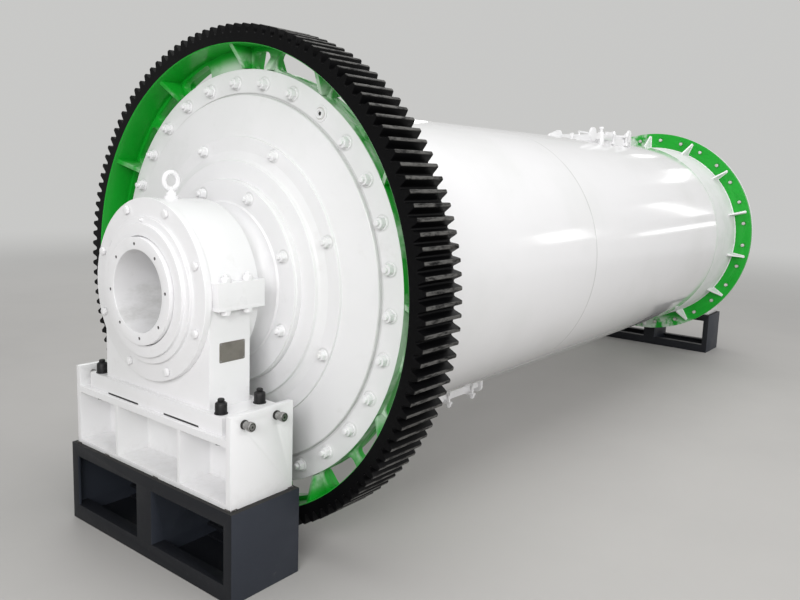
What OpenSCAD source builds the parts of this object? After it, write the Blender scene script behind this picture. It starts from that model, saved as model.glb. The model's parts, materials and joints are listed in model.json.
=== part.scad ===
// Ball mill on two floor stands: a bolted drum with a girth gear at its near end,
// turning on hollow trunnions in two split bearing housings.
// Millimetres. X runs along the mill, the gear end is at -X. Z is up.
// The origin is on the floor under the middle of the mill.

/* [Drum] */
// Gap between the gear's lowest tooth and the floor
floor_gap = 29; // [15:1:120]
// Distance from the middle of the mill to the outer face of each head flange
head_face = 2419; // [2150:1:2800]
// Outer diameter of the shell
shell_d = 1516; // [1400:4:1660]
// Wall thickness of the shell
shell_wall = 16; // [10:1:24]
// Height of the bolting flanges over the shell
flange_reach = 129; // [110:1:140]
// Thickness of each bolting flange
flange_t = 32; // [24:1:40]
// Number of flange bolts at the gear end
near_bolts_n = 30; // [20:1:36]
// Number of gussets behind the far flange, with two flange bolts between each two
gussets_n = 14; // [10:1:16]
// Turn of the drum at rest, from which its bolts and gussets are counted
drum_turn = 4; // [0:0.5:8]

/* [Girth gear] */
// Clear height between the head flange and the gear rim
rim_gap = 91; // [80:1:110]
// Module of the teeth
tooth_module = 16; // [14:0.5:18]
// Width of the teeth along the axis
gear_w = 220; // [195:5:250]
// Thickness of the gear rim under the teeth
rim_t = 42; // [30:1:50]
// Distance of the gear's near face beyond the head flange
gear_lead = 91; // [80:1:102]
// Thickness of the gear's web plate
web_t = 35; // [25:1:45]
// Number of stiffening ribs in the gear
gear_ribs_n = 12; // [8:4:12]

/* [Heads and trunnions] */
// Diameter of the hub flange of each trunnion
hub_d = 864; // [800:4:940]
// Thickness of the hub flange
hub_t = 34; // [26:1:42]
// Diameter of the circle of liner bolts on each head
liner_bolt_circle_d = 1160; // [1140:4:1240]
// Number of hub bolts, and of liner bolts, on each head
head_bolts_n = 8; // [6:1:12]
// Diameter of the trunnion's bearing seat
journal_d = 440; // [400:1:480]
// Diameter of the bore through each trunnion
trunnion_bore_d = 320; // [280:2:340]
// Length of the trunnion's end ring that stands out of the cover
end_proud = 17; // [8:1:30]
// Radial running clearance of each bearing seat
running_gap = 0.1; // [0.02:0.02:0.4]

/* [Bearing housings] */
// Thickness of the bearing between the trunnion and the housing
bearing_t = 80; // [70:1:90]
// Wall thickness of the round housing
housing_wall = 51; // [40:1:60]
// Length of the round housing along the mill
housing_l = 226; // [200:1:250]
// Distance from the head flange to the housing
housing_gap = 220; // [205:1:240]
// Height of the foot plate's underside below the axis
foot_drop = 476; // [440:1:530]
// Thickness of the foot plate
foot_t = 65; // [50:1:75]
// Length of the foot plate beyond the housing's block on each side
foot_reach = 97; // [85:1:110]

/* [Bearing bases and stands] */
// Width of the base beyond the foot plate on each side
base_reach = 75; // [65:1:90]
// Depth of the bearing base along the mill
base_l = 301; // [290:1:320]
// Height of the bearing base between the stand and its top plate
base_h = 259; // [230:1:290]
// Thickness of the base's end plates
base_end_t = 26; // [16:1:30]
// Width of the stand beyond the base on each side
stand_reach = 25; // [10:1:40]
// Depth of the stand along the mill
stand_l = 333; // [325:1:345]
// Height of the stand's top rail
stand_top_t = 55; // [45:1:65]
// Height of the stand's floor rail
stand_floor_t = 67; // [55:1:80]
// Width of each corner post of the stand
stand_post_w = 45; // [30:1:60]
// Width of the stand's centre post
stand_mid_w = 100; // [80:1:130]

/* [Manholes] */
// Distance of the top manhole from the middle of the mill, towards the far end
top_manhole_x = 1006; // [900:1:1200]
// Distance of the bottom manhole from the middle of the mill, towards the gear
bottom_manhole_x = 1006; // [850:1:1100]
// Length of a manhole frame along the mill
manhole_l = 500; // [440:5:560]
// Width of a manhole frame around the mill
manhole_w = 440; // [400:5:480]

/* [Hidden] */
// paints and bare metals
white_paint = "#f0f1f0";
green_paint = "#1ea532";
gear_black = "#17181a";
dark_grey = "#30353d";
black_steel = "#202022";
bare_steel = "#9a9a9c";
plate_grey = "#8d8781";
// fineness of round shapes
$fn = 96;
turned_fn = 180;
rod_fn = 32;
seat_fn = 120;
// shell and flanges
shell_r = shell_d / 2;
shell_in_r = shell_r - shell_wall;
flange_r = shell_r + flange_reach;
flange_bolt_r = flange_r - 57;
flange_bolt_d = 27;
flange_hole_d = flange_bolt_d + 4;
near_web_out = head_face - flange_t;
near_flange_out = near_web_out - web_t;
near_flange_in = near_flange_out - flange_t;
far_flange_in = head_face - 2 * flange_t;
near_bolt_first = drum_turn + 5;
gusset_first = drum_turn - 14;
far_bolts_n = 2 * gussets_n;
stud_back = 0.7 * flange_bolt_d;
far_bolt_first = gusset_first + 90 / gussets_n;
gusset_h = 0.84 * flange_reach;
gusset_l = 1.15 * flange_reach;
gusset_t = 12;
gusset_toe = 12;
// gear, with the number of teeth that its rim has room for
teeth_n = round(2 * (flange_r + rim_gap + rim_t) / tooth_module + 2.5);
pitch_r = teeth_n * tooth_module / 2;
tip_r = pitch_r + tooth_module;
root_r = pitch_r - 1.25 * tooth_module;
base_r = pitch_r * cos(20);
rim_r = root_r - rim_t;
rim_depth = rim_r - flange_r;
gear_out = head_face + gear_lead;
gear_in = gear_out - gear_w;
rib_pitch = 360 / gear_ribs_n;
gear_rib_t = 22;
rib_inset = 17;
rib_back_inset = 12;
rib_low_r = flange_r + 3;
rib_high_r = rim_r + 2;
window_h = 0.84 * rim_depth;
window_mid_r = flange_r + 0.4 * rim_depth;
window_corner = 0.28 * rim_depth;
window_edge = 4;
bridge_w = 38;
joint_place = 0.7;
joint_t = 34;
joint_h = 0.6 * rim_depth;
axis_h = tip_r + floor_gap;
// heads and trunnions, along the axis outward from the head flange
raise_r = flange_bolt_r - 47;
raise_h = 16;
dish_h = 30;
liner_seat = 42;
boss_h = 54;
hub_seat = 70;
hub_r = hub_d / 2;
hub_rim = 44;
hub_bolt_r = hub_r - hub_rim;
boss_step = 73;
boss_r = hub_r + boss_step;
liner_bolt_r = liner_bolt_circle_d / 2;
liner_seat_w = 30;
head_bolt_first = drum_turn + 17;
head_bolt_d = 24;
spigot_in = -flange_t - 14;
journal_r = journal_d / 2;
bore_r = trunnion_bore_d / 2;
end_r = journal_r - 11;
end_hole_r = bore_r + 22;
end_hole_d = 10;
spigot_t = 40;
spigot_r = bore_r + spigot_t;
neck_step = 97;
neck_r = hub_r - neck_step;
shoulder_h = 42;
shoulder_r = journal_r + shoulder_h;
// housings, along the axis outward from the head flange
housing_in = housing_gap;
housing_out = housing_gap + housing_l;
seat_r = journal_r + bearing_t;
housing_r = seat_r + housing_wall;
housing_d = 2 * housing_r;
bearing_in = housing_in + 30;
bearing_out = housing_out - 6;
shoulder_end = bearing_in - 14;
journal_end = bearing_out + 1;
cover_clear = 3;
cover_t = 28;
cover_r = housing_r + 6;
cover_step = 15;
cover_face = housing_out + cover_t;
cover_hole_r = end_r + cover_clear;
cover_rim = 50;
cover_step_w = 26;
cover_step_2_r = end_r + cover_rim;
cover_step_1_r = cover_step_2_r + cover_step_w;
cover_bolt_r = (cover_step_1_r + cover_r) / 2 + 5;
cover_bolts_n = 8;
inner_cover_t = 20;
inner_cover_r = housing_r - 21;
trunnion_reach = cover_face + 2 * cover_step + end_proud;
block_in = housing_in + 36;
block_w = housing_d - 16;
ear_y = 1.1 * housing_r;
ear_out = housing_out - 9;
ear_up = 0.188 * housing_r;
ear_down = 0.108 * housing_r;
ear_ledge = 0.04 * housing_r;
cap_bolt_d = 24;
cap_bolt_y = 1.05 * housing_r;
cap_bolt_x_in = housing_in + 70;
cap_bolt_x_out = ear_out - 45;
eye_x = (housing_in + housing_out) / 2 + 30;
eye_pad_h = 12;
eye_wire_d = 20;
eye_ring_d = 64;
foot_w = block_w + 2 * foot_reach;
foot_in = housing_in - 10;
foot_out = housing_out + 21;
foot_z = axis_h - foot_drop;
plate_w = 120;
plate_h = 76;
plate_x = (block_in + housing_out) / 2 - 10;
plate_z = -0.425 * foot_drop;
anchor_y = foot_w / 2 - 42;
anchor_x_in = foot_in + 42;
anchor_x_out = foot_out - 30;
anchor_d = 26;
anchor_proud = 58;
// bases and stands
mid_x = (foot_in + foot_out) / 2;
base_w = foot_w + 2 * base_reach;
base_in = mid_x - base_l / 2;
base_out = mid_x + base_l / 2;
shim_t = 3;
shim_y_in = 0.193 * foot_w / 2;
shim_y_out = 0.693 * foot_w / 2;
base_top = foot_z - shim_t;
base_plate_t = 26;
base_floor_t = 20;
base_rib_t = 16;
base_rib_y = 0.408 * base_w / 2;
lug_up = shim_t + foot_t + 20;
jack_x_in = foot_in + 64;
jack_x_out = foot_out - 39;
jack_z = foot_z + 0.75 * foot_t;
jack_d = 24;
stand_h = base_top - base_h;
stand_w = base_w + 2 * stand_reach;
stand_in = mid_x - stand_l / 2;
stand_out = mid_x + stand_l / 2;
stand_skin = 12;
stand_channel = 60;
stand_window_w = (stand_w - stand_mid_w) / 2 - stand_post_w;
stand_window_h = stand_h - stand_top_t - stand_floor_t;
// manholes
manhole_out = shell_r + 14;
manhole_rim = 50;
manhole_corner = 70;
manhole_cover_t = 18;
end_plate_t = 20;
end_plate_h = 40;
end_plate_corner = 30;
clamp_x = manhole_l / 4 - 5;
clamp_y = manhole_w / 2 + 10;
clamp_bar_y = manhole_w / 2 + 26;
clamp_w = 26;
clamp_h = 12;
clamp_lug_t = 20;
clamp_seat = manhole_out - 25;
screw_d = 16;
screw_proud = 20;
handle_x = -0.28 * manhole_l;
handle_h = 25;
handle_l = 150;
handle_d = 14;
arm_t = 16;
arm_l = manhole_l / 2 + 228;
arm_low = manhole_out - 20;
arm_h = 40;
arm_eye_r = 48;
arm_post_x = manhole_l / 2 + 88;
arm_post_d = 24;
arm_post_top = manhole_out + 68;
eye_lug_x = 0.34 * manhole_l;
eye_lug_r = 32;
lug_t = 14;
lug_l = 226;
lug_h = 48;
lug_lead = 593;
stop_lead = 327;

// Steps from the floor frame to the mill axis
module on_axis() {
    translate([0, 0, axis_h]) children();
}

// Places an end's pieces, drawn outward from the head flange, at a height
module far_end(z) {
    translate([head_face, 0, z]) children();
}

// The same at the near end, as their mirror image
module near_end(z) {
    mirror([1, 0, 0]) translate([head_face, 0, z]) children();
}

// Places a manhole's pieces, drawn at the top of the shell
module on_top() {
    translate([top_manhole_x, 0, axis_h]) children();
}

// The same under the shell
module underneath() {
    translate([-bottom_manhole_x, 0, axis_h]) rotate([180, 0, 0]) children();
}

// Turned solid about the mill axis from [radius, x] points
module turned(points) {
    rotate([0, 90, 0]) rotate_extrude($fn = turned_fn) polygon(points);
}

// Cylinder along +X
module rod(x, r, l, sides = rod_fn) {
    translate([x, 0, 0]) rotate([0, 90, 0]) cylinder(r = r, h = l, $fn = sides);
}

// Ring along +X
module ring(x, r_out, r_in, l) {
    turned([[r_in, x], [r_out, x], [r_out, x + l], [r_in, x + l]]);
}

// Copies around the axis at a radius, the first one at an angle from -Y towards +Z
module around(n, first, r) {
    for (i = [0:n - 1])
        rotate([-(first + i * 360 / n), 0, 0]) translate([0, -r, 0]) children();
}

// Box given by its low and high corners
module block(low, high) {
    translate(low) cube(high - low);
}

// The same box on both sides of the mill's middle plane
module pair_of_blocks(low, high) {
    block(low, high);
    mirror([0, 1, 0]) block(low, high);
}

// Hexagon along +X, sized like a nut for a bolt
module hexagon(x, bolt_d, h) {
    rod(x, 0.92 * bolt_d, h, 6);
}

// Nut on a washer with the stud's end, on a face looking along +X
module stud_end(x, d) {
    rod(x, 0.95 * d, 0.15 * d);
    hexagon(x + 0.15 * d, d, 0.85 * d);
    rod(x, d / 2, 1.5 * d);
}

// Upright hexagon for a bolt
module upright_nut(bolt_d, h) {
    cylinder(r = 0.92 * bolt_d, h = h, $fn = 6);
}

// Floor stand: channel frames front and rear, closed ends and a centre post
module stand() {
    color(dark_grey) {
        difference() {
            block([stand_in, -stand_w / 2, 0], [stand_out, stand_w / 2, stand_h]);
            block([stand_in + stand_skin, -stand_w / 2 + stand_skin, stand_skin],
                [stand_out - stand_skin, stand_w / 2 - stand_skin, stand_floor_t - stand_skin]);
            block([stand_in + stand_skin, -stand_w / 2 + stand_skin, stand_floor_t],
                [stand_out - stand_skin, stand_w / 2 - stand_skin, stand_h - stand_skin]);
            block([stand_in + stand_channel, -stand_w / 2 + stand_skin, -1],
                [stand_out - stand_channel, stand_w / 2 - stand_skin, stand_h + 1]);
            pair_of_blocks([stand_in - 1, stand_mid_w / 2, stand_floor_t],
                [stand_out + 1, stand_mid_w / 2 + stand_window_w, stand_floor_t + stand_window_h]);
        }
        pair_of_blocks([stand_in + stand_skin, stand_mid_w / 2 - stand_skin, 0],
            [stand_out - stand_skin, stand_mid_w / 2, stand_h]);
    }
}

// Bearing base: end plates with jack lugs, top and floor plates, ribs and a centre web
module bearing_base() {
    inner = base_w / 2 - base_end_t;
    color(white_paint) {
        difference() {
            pair_of_blocks([base_in, inner, stand_h], [base_out, base_w / 2, base_top + lug_up]);
            for (x = [jack_x_in, jack_x_out])
                translate([x, 0, jack_z]) rotate([90, 0, 0])
                    cylinder(d = jack_d + 1, h = base_w + 2, center = true);
        }
        difference() {
            union() {
                block([base_in, -inner, base_top - base_plate_t], [base_out, inner, base_top]);
                block([foot_in, -shim_y_in, base_top], [foot_out, shim_y_in, foot_z]);
                pair_of_blocks([foot_in, shim_y_out, base_top], [foot_out, foot_w / 2, foot_z]);
            }
            anchor_places() translate([0, 0, base_top - base_plate_t - 1])
                cylinder(d = anchor_d + 2, h = base_plate_t + shim_t + 2);
        }
        block([base_in, -inner, stand_h], [base_out, inner, stand_h + base_floor_t]);
        block([mid_x - base_rib_t / 2, -inner, stand_h], [mid_x + base_rib_t / 2, inner, base_top]);
        pair_of_blocks([base_in, base_rib_y - base_rib_t / 2, stand_h],
            [base_out, base_rib_y + base_rib_t / 2, base_top]);
    }
}

// Shim packs between the base and the foot
module shims() {
    color(black_steel)
        pair_of_blocks([foot_in + 2, shim_y_in, base_top], [foot_out - 2, shim_y_out, foot_z]);
}

// Round of the housing, one half of it, without its bore
module half_round(side) {
    intersection() {
        rod(housing_in, housing_r, housing_l, seat_fn);
        block([housing_in, -housing_d, min(0, side * housing_d)],
            [housing_out, housing_d, max(0, side * housing_d)]);
    }
}

// Space for the bearing
module seat_bore() {
    rod(housing_in - 1, seat_r, housing_l + 2, seat_fn);
}

// Lower half of the housing, on its foot
module housing() {
    color(white_paint) difference() {
        union() {
            block([foot_in, -foot_w / 2, -foot_drop], [foot_out, foot_w / 2, foot_t - foot_drop]);
            block([block_in, -block_w / 2, -foot_drop], [housing_out, block_w / 2, 0]);
            half_round(-1);
            block([housing_in, -ear_y, -ear_down], [ear_out, ear_y, ear_ledge - ear_down]);
        }
        seat_bore();
        anchor_places() translate([0, 0, -foot_drop - 1])
            cylinder(d = anchor_d + 2, h = foot_t + 2);
        cap_bolt_places() translate([0, 0, -ear_down - 1])
            cylinder(d = cap_bolt_d + 2, h = ear_ledge + 2);
    }
}

// Upper half of the housing
module cap() {
    color(white_paint) difference() {
        union() {
            half_round(1);
            block([housing_in, -ear_y, 0], [ear_out, ear_y, ear_up]);
            pair_of_blocks([housing_in, housing_r + 1, ear_ledge - ear_down], [ear_out, ear_y, 0]);
            translate([eye_x, 0, 0]) cylinder(d = 56, h = housing_r + eye_pad_h);
        }
        seat_bore();
        cap_bolt_places() translate([0, 0, -ear_down])
            cylinder(d = cap_bolt_d + 2, h = ear_down + ear_up + 1);
    }
}

module anchor_places() {
    for (x = [anchor_x_in, anchor_x_out], s = [-1, 1])
        translate([x, s * anchor_y, 0]) children();
}

module cap_bolt_places() {
    for (x = [cap_bolt_x_in, cap_bolt_x_out], s = [-1, 1])
        translate([x, s * cap_bolt_y, 0]) children();
}

// Stepped round cover on the outer face, with its screws
module outer_cover() {
    color(white_paint) {
        turned([[cover_hole_r, housing_out], [cover_r, housing_out], [cover_r, cover_face],
            [cover_step_1_r, cover_face], [cover_step_1_r, cover_face + cover_step],
            [cover_step_2_r, cover_face + cover_step], [cover_step_2_r, cover_face + 2 * cover_step],
            [cover_hole_r, cover_face + 2 * cover_step]]);
        around(cover_bolts_n, 22.5, cover_bolt_r) hexagon(cover_face, 18, 13);
    }
}

// Round cover on the face towards the drum
module inner_cover() {
    hole_r = shoulder_r + cover_clear + 1;
    color(white_paint) ring(housing_in - inner_cover_t, inner_cover_r, hole_r, inner_cover_t);
}

// Bearing, shown as one ring round the trunnion
module bearing() {
    color(bare_steel) ring(bearing_in, seat_r, journal_r + running_gap, bearing_out - bearing_in);
}

// Anchor bolts with their tall nuts
module anchor_bolts() {
    under = base_top - base_plate_t;
    color(black_steel) anchor_places() {
        translate([0, 0, under - anchor_d])
            cylinder(d = anchor_d, h = foot_z + foot_t + anchor_proud - under + anchor_d);
        translate([0, 0, under - 0.8 * anchor_d]) upright_nut(anchor_d, 0.8 * anchor_d);
        translate([0, 0, foot_z + foot_t]) cylinder(d = 1.65 * anchor_d, h = 1.75 * anchor_d);
    }
}

// Jack screws with lock nuts, through the base's end plates onto the foot
module jack_screws() {
    color(bare_steel) for (x = [jack_x_in, jack_x_out], s = [-1, 1])
        translate([x, 0, jack_z]) rotate([s * 90, 0, 0]) {
            translate([0, 0, foot_w / 2]) cylinder(d = jack_d, h = base_reach + 46);
            translate([0, 0, base_w / 2]) upright_nut(0.8 * jack_d, 16);
            translate([0, 0, base_w / 2 + 28]) cylinder(d = 1.5 * jack_d, h = 18);
        }
}

// Bolts through the split of the housing
module cap_bolts() {
    head_h = 0.75 * cap_bolt_d;
    color(white_paint) cap_bolt_places() {
        translate([0, 0, -ear_down - head_h]) upright_nut(0.9 * cap_bolt_d, head_h);
        translate([0, 0, -ear_down - head_h])
            cylinder(d = cap_bolt_d, h = ear_down + ear_up + head_h + 1.3 * cap_bolt_d);
        translate([0, 0, ear_up]) upright_nut(0.9 * cap_bolt_d, 0.9 * cap_bolt_d);
    }
}

// Lifting eye on the cap
module eye_bolt() {
    color(white_paint) translate([eye_x, 0, housing_r + eye_pad_h]) {
        cylinder(d = 2 * eye_wire_d, h = 14);
        cylinder(d = 1.2 * eye_wire_d, h = 28);
        translate([0, 0, 26 + eye_ring_d / 2]) rotate([90, 0, 0]) rotate_extrude()
            translate([eye_ring_d / 2, 0]) circle(d = eye_wire_d);
    }
}

// Bare plate for the maker's data
module name_plate() {
    color(plate_grey) translate([plate_x - plate_w / 2, -block_w / 2 - 3, plate_z - plate_h / 2])
        cube([plate_w, 3, plate_h]);
}

// Drum shell with its two manhole openings and the lugs before the top one
module shell() {
    color(white_paint) {
        difference() {
            ring(-near_web_out, shell_r, shell_in_r, near_web_out + head_face - flange_t);
            translate([top_manhole_x, 0, shell_r]) manhole_hole();
            translate([-bottom_manhole_x, 0, -shell_r]) manhole_hole();
        }
        translate([top_manhole_x, lug_t / 2, shell_r]) rotate([90, 0, 0]) {
            translate([-lug_lead, 0, 0]) linear_extrude(lug_t)
                polygon([[-lug_l / 2, -4], [-0.43 * lug_l, 0.3 * lug_h], [0.12 * lug_l, lug_h],
                    [0.3 * lug_l, lug_h], [lug_l / 2, 0.2 * lug_h], [lug_l / 2, -4]]);
            translate([-stop_lead, 0, 0]) linear_extrude(lug_t)
                polygon([[-20, -4], [-6, 0.9 * lug_h], [6, 0.9 * lug_h], [20, -4]]);
        }
    }
}

module manhole_hole() {
    rounded_block(manhole_l - 2 * manhole_rim, manhole_w - 2 * manhole_rim, shell_r / 3,
        manhole_corner - 15);
}

// Upright block with round corners, centred
module rounded_block(l, w, h, r) {
    translate([-l / 2 + r, -w / 2, -h / 2]) cube([l - 2 * r, w, h]);
    translate([-l / 2, -w / 2 + r, -h / 2]) cube([l, w - 2 * r, h]);
    for (sx = [-1, 1], sy = [-1, 1])
        translate([sx * (l / 2 - r), sy * (w / 2 - r), -h / 2]) cylinder(r = r, h = h);
}

// Bolt holes through one plate of the near joint, from a place on the axis
module near_flange_holes(x) {
    around(near_bolts_n, near_bolt_first, flange_bolt_r) rod(x - 1, flange_hole_d / 2, flange_t + 12);
}

// Bolt holes through one plate of the far joint
module far_flange_holes(x) {
    around(far_bolts_n, far_bolt_first, flange_bolt_r) rod(x - 1, flange_hole_d / 2, flange_t + 12);
}

module near_shell_flange() {
    color(green_paint) difference() {
        ring(-near_flange_out, flange_r, shell_r, flange_t);
        near_flange_holes(-near_flange_out);
    }
}

module far_shell_flange() {
    color(green_paint) difference() {
        ring(far_flange_in, flange_r, shell_r, flange_t);
        far_flange_holes(far_flange_in);
    }
}

// Triangular gussets between the shell and the far flange
module flange_gussets() {
    toe = far_flange_in - gusset_l;
    color(white_paint) difference() {
        around(gussets_n, gusset_first, shell_r)
            translate([0, 0, -gusset_t / 2]) linear_extrude(gusset_t)
                polygon([[far_flange_in, gusset_toe], [far_flange_in, -gusset_h],
                    [far_flange_in - gusset_toe, -gusset_h], [toe, -gusset_toe], [toe, gusset_toe]]);
        rod(toe - 1, shell_r, gusset_l + 2, turned_fn);
    }
}

// Head: flange, raised centre and boss, with the hole for the trunnion's spigot
module head() {
    fit_r = shell_in_r - 2;
    seat_out = liner_bolt_r + liner_seat_w;
    turned([[spigot_r, spigot_in], [fit_r, spigot_in], [fit_r, -flange_t],
        [flange_r, -flange_t], [flange_r, 0], [raise_r, 0], [raise_r, raise_h],
        [seat_out, dish_h], [seat_out, liner_seat], [seat_out - 2 * liner_seat_w, liner_seat],
        [boss_r, boss_h], [boss_r, hub_seat], [spigot_r, hub_seat]]);
}

module near_head() {
    color(white_paint) difference() {
        head();
        near_flange_holes(-flange_t);
    }
}

module far_head() {
    color(white_paint) difference() {
        head();
        far_flange_holes(-flange_t);
    }
}

// Hollow trunnion: hub flange, curved neck, bearing seat and end ring with tapped holes
module trunnion() {
    face = hub_seat + hub_t;
    reach = shoulder_end - 24 - face;
    rise = neck_r - shoulder_r;
    neck = [for (a = [0:15:90])
        [shoulder_r + rise * (1 - sin(a)), face + 8 + (reach - 8) * (1 - cos(a))]];
    color(white_paint) difference() {
        turned(concat([[bore_r, spigot_in], [spigot_r, spigot_in], [spigot_r, hub_seat],
            [hub_r, hub_seat], [hub_r, face], [neck_r, face]], neck,
            [[shoulder_r, shoulder_end], [journal_r, shoulder_end], [journal_r, journal_end],
            [end_r, journal_end], [end_r, trunnion_reach], [bore_r, trunnion_reach]]));
        around(8, drum_turn, end_hole_r) rod(trunnion_reach - 28, end_hole_d / 2, 29);
    }
}

function inv(a) = tan(a) * 180 / PI - a;
function half_angle(r) = 90 / teeth_n + inv(20) - inv(acos(base_r / r));
function spot(r, a) = [r * cos(a), r * sin(a)];

// Toothed rim of the girth gear, with involute flanks of 20 degrees
module gear_rim() {
    radii = [root_r, pitch_r, tip_r];
    outline = [for (i = [0:teeth_n - 1], k = [0:5])
        let (r = radii[k < 3 ? k : 5 - k], side = k < 3 ? -1 : 1)
            spot(r, i * 360 / teeth_n + side * half_angle(r))];
    color(gear_black) translate([-gear_out, 0, 0]) rotate([0, 90, 0]) difference() {
        linear_extrude(gear_w) polygon(outline);
        translate([0, 0, -1]) cylinder(r = rim_r, h = gear_w + 2, $fn = turned_fn);
    }
}

// Web plate of the girth gear, bolted between the flanges. It has two windows between each
// two ribs. The gear's halves meet beside the third rib, and the bay after it is half closed.
module gear_web() {
    edge = asin(bridge_w / 2 / window_mid_r);
    color(green_paint) difference() {
        ring(-near_web_out, rim_r, shell_r + 1, web_t);
        near_flange_holes(-near_web_out);
        intersection() {
            rod(-near_web_out - 2, rim_r - window_edge, web_t + 4, turned_fn);
            for (i = [0:gear_ribs_n - 1]) {
                bay = i % (gear_ribs_n / 2);
                split = (i + (bay == 2 ? joint_place : 0.5)) * rib_pitch;
                if (bay != 3) web_window(i * rib_pitch + edge, split - edge);
                web_window(split + edge, (i + 1) * rib_pitch - edge);
            }
        }
    }
}

// Space of one window in the web with round corners, between two angles
module web_window(from, to) {
    side = window_mid_r * sin((to - from) / 2) - window_corner;
    up = window_h / 2 - window_corner;
    rotate([-(from + to) / 2, 0, 0]) translate([-near_web_out - 1, -window_mid_r, 0])
        rotate([0, 90, 0]) linear_extrude(web_t + 2)
            polygon([for (q = [0:3], a = [90 * q:30:90 * q + 90])
                [(q % 3 == 0 ? side : -side) + window_corner * cos(a),
                    (q < 2 ? up : -up) + window_corner * sin(a)]]);
}

// Ribs between the web and the rim on both sides of the web, and the joint plates of its halves
module gear_ribs() {
    color(green_paint) difference() {
        union() {
            around(gear_ribs_n, 0, 0) {
                rib_plate(gear_rib_t, [[rib_inset - gear_out, -rib_high_r],
                    [-near_web_out, -rib_high_r], [-near_web_out, -rib_low_r],
                    [-head_face, -rib_low_r]]);
                rib_plate(gear_rib_t, [[-gear_in - rib_back_inset, -rib_high_r],
                    [-near_flange_out, -rib_high_r], [-near_flange_out, -rib_low_r],
                    [-near_flange_in, -rib_low_r]]);
            }
            around(2, (2 + joint_place) * rib_pitch, 0) {
                rib_plate(joint_t, [[-head_face, -rib_low_r], [-near_web_out, -rib_low_r],
                    [-near_web_out, -rib_low_r - joint_h]]);
                rib_plate(joint_t, [[-near_flange_in, -rib_low_r], [-near_flange_out, -rib_low_r],
                    [-near_flange_out, -rib_low_r - joint_h]]);
            }
        }
        difference() {
            rod(-gear_out - 1, rim_r + 30, gear_w + 2, turned_fn);
            rod(-gear_out - 2, rim_r, gear_w + 4, turned_fn);
        }
    }
}

module rib_plate(t, points) {
    translate([0, 0, -t / 2]) linear_extrude(t) polygon(points);
}

// Studs, washers and nuts of the near joint
module near_flange_bolts() {
    color(white_paint) mirror([1, 0, 0]) around(near_bolts_n, near_bolt_first, flange_bolt_r) {
        rod(near_flange_in - 4, flange_bolt_d / 2, head_face - near_flange_in + 4);
        hexagon(near_flange_in - 0.85 * flange_bolt_d, flange_bolt_d, 0.85 * flange_bolt_d);
        stud_end(head_face, flange_bolt_d);
    }
}

// Studs, washers and nuts of the far joint
module far_flange_bolts() {
    color(white_paint) around(far_bolts_n, far_bolt_first, flange_bolt_r) {
        rod(far_flange_in - stud_back, flange_bolt_d / 2, head_face - far_flange_in + stud_back);
        stud_end(head_face, flange_bolt_d);
    }
}

// Hub bolts and liner bolts of one head
module head_bolts() {
    color(white_paint) {
        around(head_bolts_n, head_bolt_first, hub_bolt_r) stud_end(hub_seat + hub_t, head_bolt_d);
        around(head_bolts_n, head_bolt_first, liner_bolt_r) stud_end(liner_seat, head_bolt_d);
    }
}

// Neck round a manhole with an end plate, lugs for the clamps and the cover's swing arm
module manhole_frame() {
    depth = shell_r / 6;
    color(white_paint) difference() {
        union() {
            translate([0, 0, manhole_out - depth / 2])
                rounded_block(manhole_l, manhole_w, depth, manhole_corner);
            translate([(manhole_l - end_plate_t) / 2, 0, manhole_out + (end_plate_h - depth) / 2])
                rotate([0, 90, 0])
                    rounded_block(depth + end_plate_h, manhole_w, end_plate_t, end_plate_corner);
            for (s = [-1, 1])
                translate([s * clamp_x - clamp_w / 2, -clamp_bar_y, clamp_seat - clamp_lug_t])
                    cube([clamp_w, 2 * clamp_bar_y, clamp_lug_t]);
            swing_arm();
        }
        translate([0, 0, manhole_out]) manhole_hole();
        rod(-manhole_l * 1.5, shell_r, 3 * manhole_l, turned_fn);
    }
}

// Arm along the frame's side with its eye and post, and the eye lug at the other end
module swing_arm() {
    side = -manhole_w / 2 - arm_t;
    block([-arm_l, side, arm_low], [1 - manhole_l / 4 - clamp_w, side + arm_t + 1, arm_low + arm_h]);
    block([-manhole_l / 2, side, arm_low],
        [1 - manhole_l / 4 - clamp_w, side + arm_t + 1, manhole_out + end_plate_h]);
    translate([-arm_l, side + arm_t, arm_low + arm_h / 2 + 10]) rotate([90, 0, 0])
        cylinder(r = arm_eye_r, h = arm_t);
    translate([-arm_post_x, side + arm_t / 2, 0]) {
        cylinder(d = arm_post_d, h = arm_post_top);
        cylinder(d = 2 * arm_post_d, h = shell_r);
        translate([0, 0, arm_low - 2]) cylinder(d = 1.8 * arm_post_d, h = arm_h + 14);
        translate([0, 0, arm_post_top - 14]) cylinder(d = 1.4 * arm_post_d, h = 14);
    }
    translate([eye_lug_x, side + arm_t, manhole_out + end_plate_h]) rotate([90, 0, 0])
        difference() {
            union() {
                cylinder(r = eye_lug_r, h = arm_t);
                translate([-eye_lug_r, arm_low - manhole_out - end_plate_h, -1])
                    cube([2 * eye_lug_r, manhole_out + end_plate_h - arm_low, arm_t + 1]);
            }
            translate([0, 0, -1]) cylinder(d = arm_t, h = arm_t + 2);
        }
}

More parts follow.
